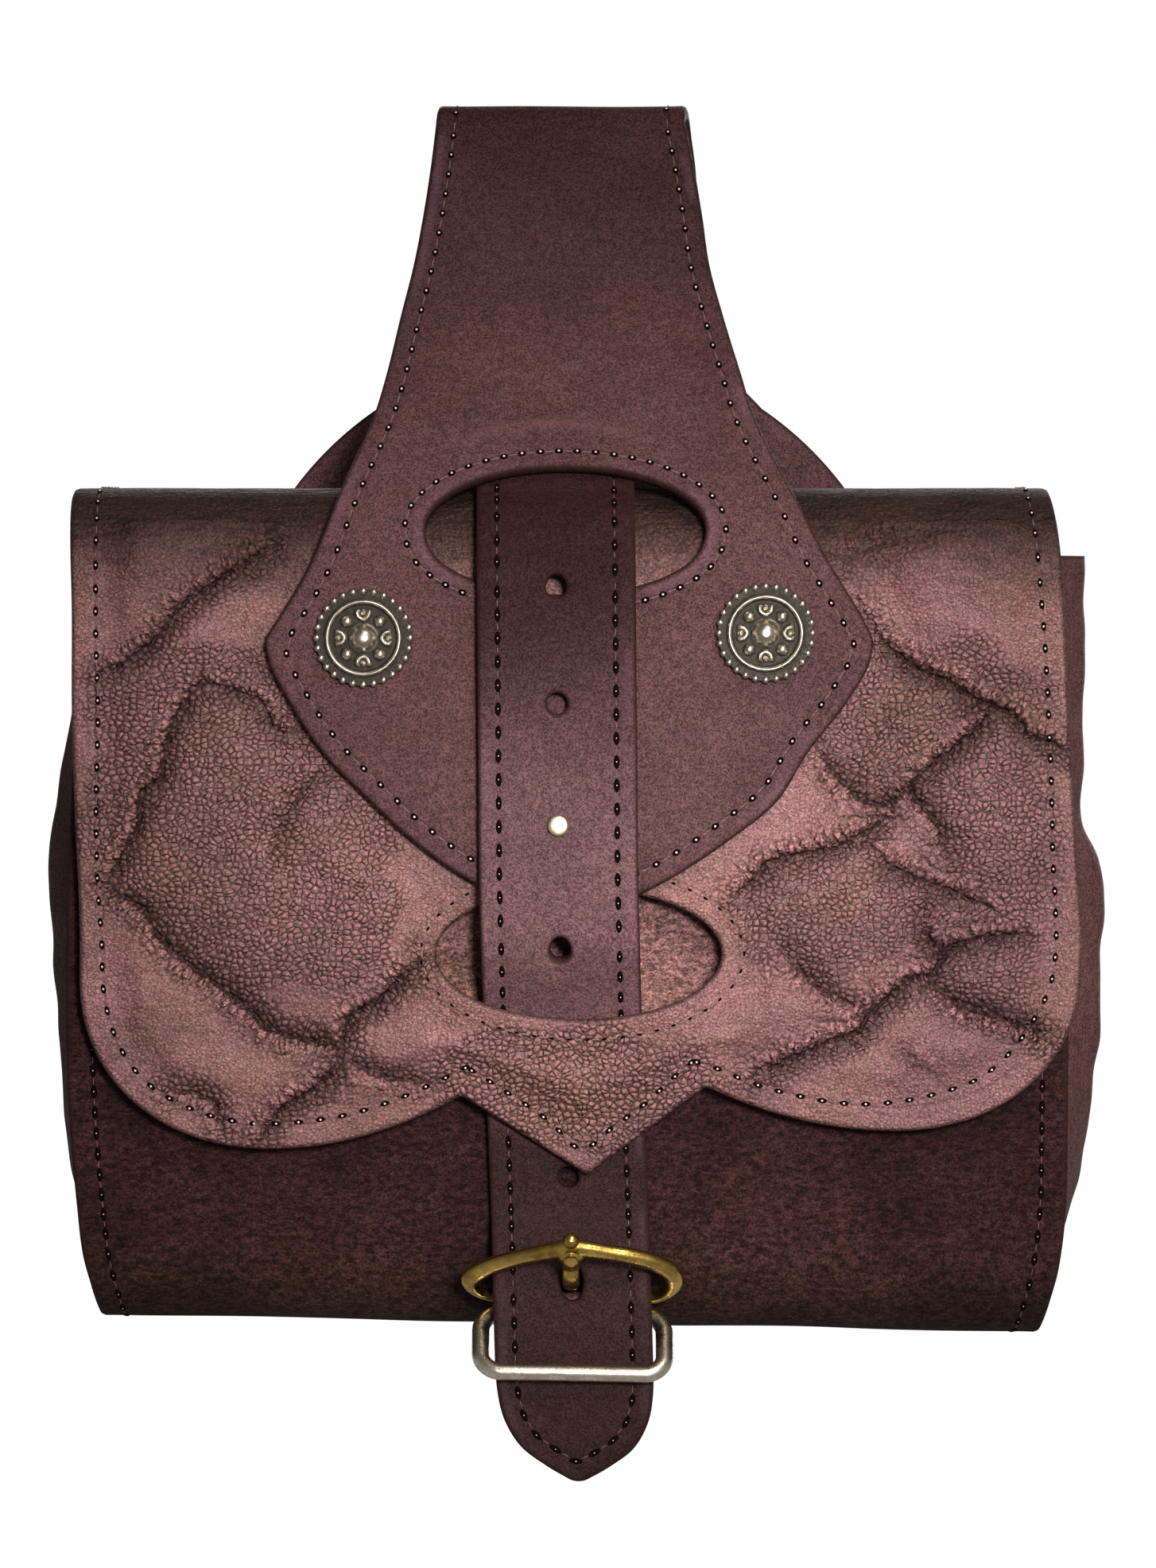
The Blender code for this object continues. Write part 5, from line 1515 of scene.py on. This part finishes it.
def make_studs(settings):
    """The two cast discs with their beads, and the flat rivet."""
    low = srgb(24, 20, 17)
    silver = cast_metal("antique silver", settings.silver_colour, low, 0.24, 0.25, cavity=True)
    base = LEAF_OUT - GAP
    turns = np.linspace(0, 2 * np.pi, DISC_SPOKES, endpoint=False)
    radii = CONCHO_PROFILE[-1][0] * np.linspace(0.02, 1, DISC_STEPS) ** 0.9
    x, z = (np.outer(radii, part).ravel() for part in (np.cos(turns), np.sin(turns)))
    height = concho_height(x, z)
    beside = ((0.7, 0), (-0.7, 0), (0, 0.7), (0, -0.7))
    around = np.mean([concho_height(x + dx, z + dz) for dx, dz in beside], axis=0)
    cavity = np.clip((around - height) * 2.6 + 0.15 + 0.8 * (height < 1.12), 0, 1)
    number = np.arange(DISC_STEPS * DISC_SPOKES).reshape(DISC_STEPS, DISC_SPOKES)
    side = np.roll(number, -1, axis=1)
    rim = len(height) + np.arange(DISC_SPOKES)
    corners = (number[:-1], number[1:], side[1:], side[:-1])
    faces = np.column_stack([part.ravel() for part in corners]).tolist() + [tuple(number[0])]
    faces += [*zip(number[-1], rim, np.roll(rim, -1), side[-1]), tuple(rim[::-1])]
    rise = np.append(height, np.zeros(DISC_SPOKES))
    hollow = {"cavity": np.append(cavity, np.ones(DISC_SPOKES))}
    x, z = (np.append(part, part[-DISC_SPOKES:]) for part in (x, z))
    turns = np.linspace(0, 2 * np.pi, CONCHO_BEADS, endpoint=False)
    x_bead, z_bead = CONCHO_BEAD_RING * np.cos(turns), CONCHO_BEAD_RING * np.sin(turns)
    forward = np.tile((0.0, -1.0, 0.0), (CONCHO_BEADS, 1))
    for name, middle_x, middle_z in CONCHOS:
        points = settle(middle_x + x, base - rise, middle_z + z)
        show(make_mesh(name + "_silver", points, faces, silver, fields=hollow), "antique_silver", name)
        spots = settle(middle_x + x_bead, np.full(CONCHO_BEADS, base - 0.7), middle_z + z_bead)
        beads = scatter(name + "_beads", spots, None, forward, (CONCHO_BEAD,) * 3, silver, 12, 8)
        show(beads, "antique_silver")

    cream = cast_metal("cream brass", settings.rivet_colour, srgb(120, 96, 66), 0.32, 0.5)
    foot = (float(read_table(STRAP_MIDDLE, RIVET_Z)), STRAP_IN - LOOP_HIDE - GAP, RIVET_Z)
    rivet = turned(foot, (0, -1, 0), RIVET_PROFILE, 32)
    show_cast("strap_rivet_brass", rivet, cream, "cream_brass", "strap_rivet")


# ---- What repeats ----


def scatter_tree():
    """A node tree that puts a small rounded shape on every point, along the seam and outward."""
    name = "seam marks"
    if name in bpy.data.node_groups:
        return bpy.data.node_groups[name]
    group = bpy.data.node_groups.new(name, "GeometryNodeTree")
    kinds = ("Geometry", "Vector", "Int", "Int", "Material")
    for socket, kind in zip(("Geometry", "Half Size", "Segments", "Rings", "Material"), kinds):
        group.interface.new_socket(socket, in_out="INPUT", socket_type="NodeSocket" + kind)
    group.interface.new_socket("Geometry", in_out="OUTPUT", socket_type="NodeSocketGeometry")
    tree = Nodes(group, "")
    given = tree.node("NodeGroupInput").node.outputs
    inputs = {"Radius": 1.0, "Segments": given["Segments"], "Rings": given["Rings"]}
    ball = tree.node("GeometryNodeMeshUVSphere", inputs).node.outputs
    inputs = {"Geometry": ball["Mesh"], "Name": "UVMap", "Value": ball["UV Map"]}
    kept = tree.node("GeometryNodeStoreNamedAttribute", inputs, data_type="FLOAT2", domain="CORNER")
    turn = None
    for field, axis, pivot in (("along", "Z", "AUTO"), ("outward", "X", "Z")):
        kind = "GeometryNodeInputNamedAttribute"
        way = tree.node(kind, {"Name": field}, "Attribute", data_type="FLOAT_VECTOR")
        inputs = {"Vector": way, "Rotation": turn} if turn else {"Vector": way}
        turn = tree.node("FunctionNodeAlignRotationToVector", inputs, axis=axis, pivot_axis=pivot)
    inputs = {"Points": given["Geometry"], "Instance": kept, "Rotation": turn, "Scale": given["Half Size"]}
    placed = tree.node("GeometryNodeInstanceOnPoints", inputs)
    real = tree.node("GeometryNodeRealizeInstances", {"Geometry": placed})
    painted = tree.node("GeometryNodeSetMaterial", {"Geometry": real, "Material": given["Material"]})
    tree.feed(group.nodes.new("NodeGroupOutput").inputs["Geometry"], painted)
    return group


def scatter(name, points, along, outward, half_size, material, segments=8, rings=6):
    """A mesh with one rounded shape on each point. half_size is (outward, aside, along), in millimetres."""
    mesh = bpy.data.meshes.new(name)
    mesh.from_pydata((np.asarray(points) * MM).tolist(), [], [])
    if along is None:
        along = np.tile((0.0, 0.0, 1.0), (len(points), 1))
    for field, values in (("along", along), ("outward", outward)):
        attribute = mesh.attributes.new(field, "FLOAT_VECTOR", "POINT")
        attribute.data.foreach_set("vector", np.asarray(values, np.float32).ravel())
    thing = link(name, mesh)
    modifier = thing.modifiers.new("marks", "NODES")
    modifier.node_group = scatter_tree()
    size = [part * MM for part in half_size]
    values = {"Half Size": size, "Segments": segments, "Rings": rings, "Material": material}
    for item in modifier.node_group.interface.items_tree:
        if item.in_out == "INPUT" and item.name in values:
            modifier[item.identifier] = values[item.name]
    bpy.context.view_layer.update()
    evaluated = thing.evaluated_get(bpy.context.evaluated_depsgraph_get())
    made = bpy.data.meshes.new_from_object(evaluated)
    thing.modifiers.clear()
    thing.data = made
    made.shade_smooth()
    return thing


def seam_marks(hide, flat_line, pitch):
    """Holes at every pitch of a flat line, and the threads between them: points, ways and outward."""
    spots = resample(resample(np.asarray(flat_line, float), 0.25), pitch)
    middles = (spots[:-1] + spots[1:]) / 2
    holes, threads = hide.at(spots, hide.thick), hide.at(middles, hide.thick)
    return (
        (holes, unit(np.gradient(holes, axis=0)), hide.outward(spots)),
        (threads, unit(np.diff(holes, axis=0)), hide.outward(middles)),
    )


def slot_seam(hide, slot, shift, aside, above):
    """A closed line round a slot, outside it by as much as aside and above say."""
    ring = ellipse(slot["x"] + shift, slot["z"], slot["across"] + aside, slot["up"] + above, 160)
    return hide.from_front(np.vstack((ring, ring[:1])))


def all_seams(settings):
    """Every seam as (hide, flat line, pitch, look)."""
    pitch = settings.pitch / MM
    hanger, flap, panel, strap = hanger_hide(), flap_hide(), panel_hide(), strap_hide()
    run = offset_loop(wind([loop_outline(hanger.bend, PATTERN_STEP)])[0], settings.inset / MM)
    seams = [
        (hanger, np.roll(run, -int(np.argmin(run[:, 1])), axis=0), pitch, "deep"),
        (hanger, slot_seam(hanger, UPPER_SLOT, 0.0, 3.9, 2.9), pitch * 0.8, "deep"),
    ]

    top, back = flap_turns(flap.bend)
    for number, seam in enumerate(FLAP_SEAMS):
        line = flap.from_front(smooth_line(seam, 1.0))
        if number != 1:
            above, behind = FLAP_SEAM_TOPS[number // 2], FLAP_SEAM_BACKS[number // 2]
            tail = [(above, top), (behind, back), (behind, flap.bend.length - 4)]
            line = np.vstack((tail[::-1], line) if number == 0 else (line, tail))
        seams.append((flap, line, pitch * 0.95, "fine"))
    seams.append((flap, slot_seam(flap, LOWER_SLOT, 0.7, 3.6, 3.9), pitch * 0.75, "pale"))

    outline = panel_outline(panel.bend, PATTERN_STEP)
    for side in (-1, 1):
        edge = outline[(np.sign(outline[:, 0]) == side) & (np.abs(outline[:, 0]) > 88)]
        edge = edge[np.argsort(edge[:, 1])]
        seams.append((panel, edge - (side * PANEL_SEAM_INSET, 0), pitch * 0.9, "dark"))

    run = offset_loop(wind([strap_outline(strap.bend, PATTERN_STEP)])[0], STRAP_SEAM_INSET)
    run = run[run[:, 1] < strap.bend.length - 6]
    start = int(np.argmax(run[:, 1] + run[:, 0] * 0.001))
    seams.append((strap, np.roll(run, -start, axis=0), pitch, "dark"))
    return seams


def make_stitching(settings):
    thread = thread_material(settings)
    # Painted shade: a dark blob on each hole stands in for the shade in its pit.
    hole = plain_material("stitch hole", srgb(13, 6, 5), 0.95, 0.02)
    dot = plain_material("stitch end", settings.dot_colour, 0.5, 0.3)
    made = {look: ([], []) for look in STITCH_LOOKS}
    for hide, line, pitch, look in all_seams(settings):
        for kept, part in zip(made[look], seam_marks(hide, line, pitch)):
            kept.append(part)
    for look, (thread_size, hole_size, dot_size) in STITCH_LOOKS.items():
        holes, threads = [[np.vstack(column) for column in zip(*parts)] for parts in made[look]]
        show(scatter(f"threads_{look}", *threads, thread_size, thread), None)
        show(scatter(f"stitch_holes_{look}", *holes, hole_size, hole, 8, 5), None)
        if dot_size:
            points, ways, outward = holes
            raised = points + outward * STITCH_END_RISE
            show(scatter(f"stitch_ends_{look}", raised, ways, outward, (dot_size,) * 3, dot, 6, 4), None)


# ---- Stage ----


def add_light(name, kind, place, target, power, **options):
    light = bpy.data.lights.new(name, kind)
    light.energy = power
    for option, value in options.items():
        setattr(light, option, value)
    thing = link(name, light)
    thing.location = place
    thing.rotation_euler = (Vector(target) - thing.location).to_track_quat("-Z", "Y").to_euler()


def make_camera(settings, target):
    tilt = settings.elevation
    camera = link("camera", bpy.data.cameras.new("camera"))
    camera.location = target + Vector((0.0, -math.cos(tilt), math.sin(tilt))) * settings.distance
    camera.rotation_euler = (math.radians(90) - tilt, 0.0, 0.0)
    camera.data.sensor_width = SENSOR
    camera.data.lens = SENSOR * settings.distance / settings.frame_height
    bpy.context.scene.camera = camera


def make_surround(settings):
    """Soft light from all round with a bright patch high in front, which the camera sees as white."""
    world = bpy.data.worlds.new("surround")
    bpy.context.scene.world = world
    world.use_nodes = True
    sky = Nodes(world.node_tree)
    place = sky.node("TexCoord", output="Generated")
    height = sky.node("SeparateXYZ", {0: place}, "Z")
    glow = sky.remap(height, -0.6, 0.7, settings.floor_glow, settings.sky_glow, "LINEAR")
    towards = Vector((0.3, -0.62, 0.72)).normalized()
    patch = sky.node("VectorMath", {0: place, 1: towards}, "Value", operation="DOT_PRODUCT")
    patch = sky.remap(patch, 0.965, 0.985, 0.0, settings.softbox_glow, "LINEAR")
    lit = world.node_tree.nodes["Background"]
    sky.feed(lit.inputs["Color"], (1.0, 0.98, 0.96, 1.0))
    sky.feed(lit.inputs["Strength"], sky.node("Math", {0: glow, 1: patch}))
    sky.for_camera(lit.outputs[0], sky.node("Background", {"Color": WHITE}), "World Output")


def make_stage(settings):
    """Camera, a plain pale floor, soft frontal light and a white surround."""
    scene = bpy.context.scene
    scene.view_settings.view_transform = "Standard"
    scene.view_settings.look = "None"
    target = Vector(settings.target)
    make_camera(settings, target)
    cone = dict(shadow_soft_size=0.12, spot_size=settings.key_spread, spot_blend=1.0)
    add_light("key", "SPOT", (0.2, -1.05, 0.06), (0.022, -0.05, -0.15), settings.key_power, **cone)
    for name, place, size, power in (
        ("fill", (1.0, -1.2, -0.1), 0.9, settings.fill_power),
        ("back", (0.15, 1.6, 0.25), 1.2, settings.back_power),
    ):
        add_light(name, "AREA", place, target, power, shape="SQUARE", size=size)
    make_surround(settings)

    mesh = bpy.data.meshes.new("floor")
    corners = [(-6, -6), (6, -6), (6, 6), (-6, 6)]
    mesh.from_pydata([(x, y, settings.floor_height) for x, y in corners], [], [(0, 1, 2, 3)])
    floor = link("floor", mesh)
    paint = Shade("floor", (settings.floor_tone,) * 3, gloss=0.0, roughness=0.9)
    white = paint.node("Emission", {"Color": WHITE}, "Emission")
    paint.for_camera(paint.shader.outputs[0], white, "Material Output")
    mesh.materials.append(paint.material)


# ---- Settings, operators and panel ----


def number(label, description, default, **kind):
    return FloatProperty(name=label, description=description, default=default, **kind)


def length(label, description, default):
    return number(label, description, default * MM, min=0.0, unit="LENGTH", precision=5)


def colour(label, description, *levels):
    kind = dict(size=3, subtype="COLOR", min=0.0, max=1.0)
    return FloatVectorProperty(name=label, description=description, default=srgb(*levels), **kind)


class LeatherSettings(PropertyGroup):
    creased_cell: length("Flap cell", "Distance between the points of the flap's front", 0.72)
    smooth_cell: length("Belt loop cell", "Distance between the points of the belt loop's front", 1.05)
    plain_cell: length("Panel cell", "Distance between the points of the front panel", 2.0)
    strap_cell: length("Strap cell", "Distance between the points of the strap", 1.0)
    edge_step: length("Edge step", "Distance between the points along cut edges", 1.0)
    seam_inset: length("Seam inset", "How far inside the edge the seam's pressed line runs", 3.7)
    flap_seam_inset: length("Flap seam inset", "The same on the flap", 4.3)
    hanger_colour: colour("Belt loop", "Colour of the belt loop", 72, 47, 48)
    flap_colour: colour("Flap", "Colour of the flap", 121, 83, 83)
    # Painted shade in the flap's creases and on the slopes beside them.
    crease_shade_colour: colour("Creases", "Colour in the flap's creases", 40, 22, 17)
    # Painted shade of the flap's top, where it turns back.
    flap_top_shade_colour: colour("Flap's top", "Colour of the flap where it turns back", 38, 20, 11)
    panel_colour: colour("Front panel", "Colour of the front panel", 38, 20, 21)
    panel_low_colour: colour("Front panel, low", "Colour of its lower bend", 38, 23, 19)
    covered_colour: colour("Front panel, covered", "Colour of it behind the flap", 98, 68, 67)
    gusset_colour: colour("Gussets", "Colour of the side gussets", 80, 52, 51)
    strap_colour: colour("Strap", "Colour of the strap", 83, 57, 60)
    # Painted shade of the strap below the flap's lip and down to its tip.
    strap_low_shade_colour: colour("Strap, low", "Colour of the strap below the flap", 37, 22, 20)
    # Painted shade of the belt loop's top, the strap's top end and the left gusset.
    shade_colour: colour("Shaded ends", "Colour of the belt loop's top and the strap's", 35, 16, 16)
    warm_tint: colour("Warm patches", "Tint of the hide's browner patches", 250, 255, 228)
    # Painted sheen on the bevel beside the edges.
    edge_sheen_colour: colour("Worn edges", "Pale colour that shows beside the edges", 132, 98, 116)
    edge_colour: colour("Cut edges", "Colour of burnished edges", 42, 24, 21)


class StitchSettings(PropertyGroup):
    pitch: length("Pitch", "Distance from one stitch to the next", 4.4)
    inset: length("Inset", "How far inside the edge the belt loop's seam runs", 3.7)
    thread_colour: colour("Thread", "Colour of the thread", 118, 86, 84)
    dot_colour: colour("Stitch ends", "Colour of the pale ends in the stitch holes", 216, 184, 178)


class MetalSettings(PropertyGroup):
    brass_colour: colour("Brass", "Colour of the buckle's frame and prong", 214, 178, 98)
    nickel_colour: colour("Nickel", "Colour of the ring", 224, 214, 196)
    silver_colour: colour("Silver", "Colour of the round studs", 184, 174, 158)
    rivet_colour: colour("Rivet", "Colour of the flat rivet", 208, 192, 162)


class StageSettings(PropertyGroup):
    target: FloatVectorProperty(
        name="Target",
        description="What the camera looks at",
        default=(0.00165, -0.05, -0.12715),
        subtype="TRANSLATION",
    )
    distance: number("Distance", "From the camera to the target", 1.5, unit="LENGTH")
    elevation: number("Elevation", "Camera's height as an angle", math.radians(2.0), subtype="ANGLE")
    frame_height: number("Frame height", "What the picture takes in at the target", 0.2958, unit="LENGTH")
    floor_height: number("Floor height", "Height of the floor", -0.3, unit="LENGTH")
    floor_tone: number("Floor tone", "How much light the floor gives back", 0.5)
    floor_glow: number("Low surround", "Light from low round the object", 0.45)
    sky_glow: number("High surround", "Light from above the object", 0.12)
    softbox_glow: number("Softbox", "Light from high in front, for gloss", 9.0)
    key_power: number("Key light", "Power of the main light", 96.0, unit="POWER")
    key_spread: number("Key spread", "Width of the main light's cone", math.radians(19.5), subtype="ANGLE")
    fill_power: number("Fill light", "Power of the light from the right", 1.5, unit="POWER")
    back_power: number("Back light", "Power of the light behind", 26.0, unit="POWER")


def operator(name, label, doc, group, *makers):
    """An operator that makes one group of pieces with that group of settings."""

    def execute(self, context):
        for maker in makers:
            maker(getattr(context.scene, group))
        return {"FINISHED"}

    members = {"__doc__": doc, "bl_idname": f"pouch.{name}", "bl_label": label, "execute": execute}
    return type(f"POUCH_OT_{name}", (Operator,), members)


OPERATORS = (
    operator("hanger", "Belt loop", "Make the belt loop", "pouch_leather", make_hanger),
    operator("flap", "Flap", "Make the creased flap", "pouch_leather", make_flap),
    operator("body", "Body", "Make the panel and the gussets", "pouch_leather", make_panel, make_gussets),
    operator("strap", "Strap", "Make the strap and the billet", "pouch_leather", make_strap),
    operator("buckle", "Buckle", "Make the buckle's frame, prong and ring", "pouch_metal", make_buckle),
    operator("studs", "Studs", "Make the round studs and the rivet", "pouch_metal", make_studs),
    operator("stitching", "Stitching", "Make every seam's stitches", "pouch_stitches", make_stitching),
    operator("stage", "Stage", "Make the camera, floor and light", "pouch_stage", make_stage),
)


class POUCH_PT_panel(Panel):
    """Settings and operators of the belt pouch"""

    bl_idname = "POUCH_PT_panel"
    bl_label = "Belt pouch"
    bl_space_type = "VIEW_3D"
    bl_region_type = "UI"
    bl_category = "Pouch"

    def draw(self, context):
        for kind in OPERATORS:
            self.layout.operator(kind.bl_idname)
        for group, settings in GROUPS.items():
            box = self.layout.box()
            box.label(text=settings.__name__.replace("Settings", ""))
            for name in settings.__annotations__:
                box.prop(getattr(context.scene, group), name)


GROUPS = {
    "pouch_leather": LeatherSettings,
    "pouch_stitches": StitchSettings,
    "pouch_metal": MetalSettings,
    "pouch_stage": StageSettings,
}


def register():
    for kind in (*GROUPS.values(), *OPERATORS, POUCH_PT_panel):
        bpy.utils.register_class(kind)
    for group, settings in GROUPS.items():
        setattr(bpy.types.Scene, group, PointerProperty(type=settings))


def unregister():
    for group in GROUPS:
        delattr(bpy.types.Scene, group)
    for kind in (POUCH_PT_panel, *OPERATORS[::-1], *GROUPS.values()):
        bpy.utils.unregister_class(kind)


def main():
    register()
    for kind in OPERATORS:
        getattr(bpy.ops.pouch, kind.bl_idname.split(".")[1])()


if __name__ == "__main__":
    main()
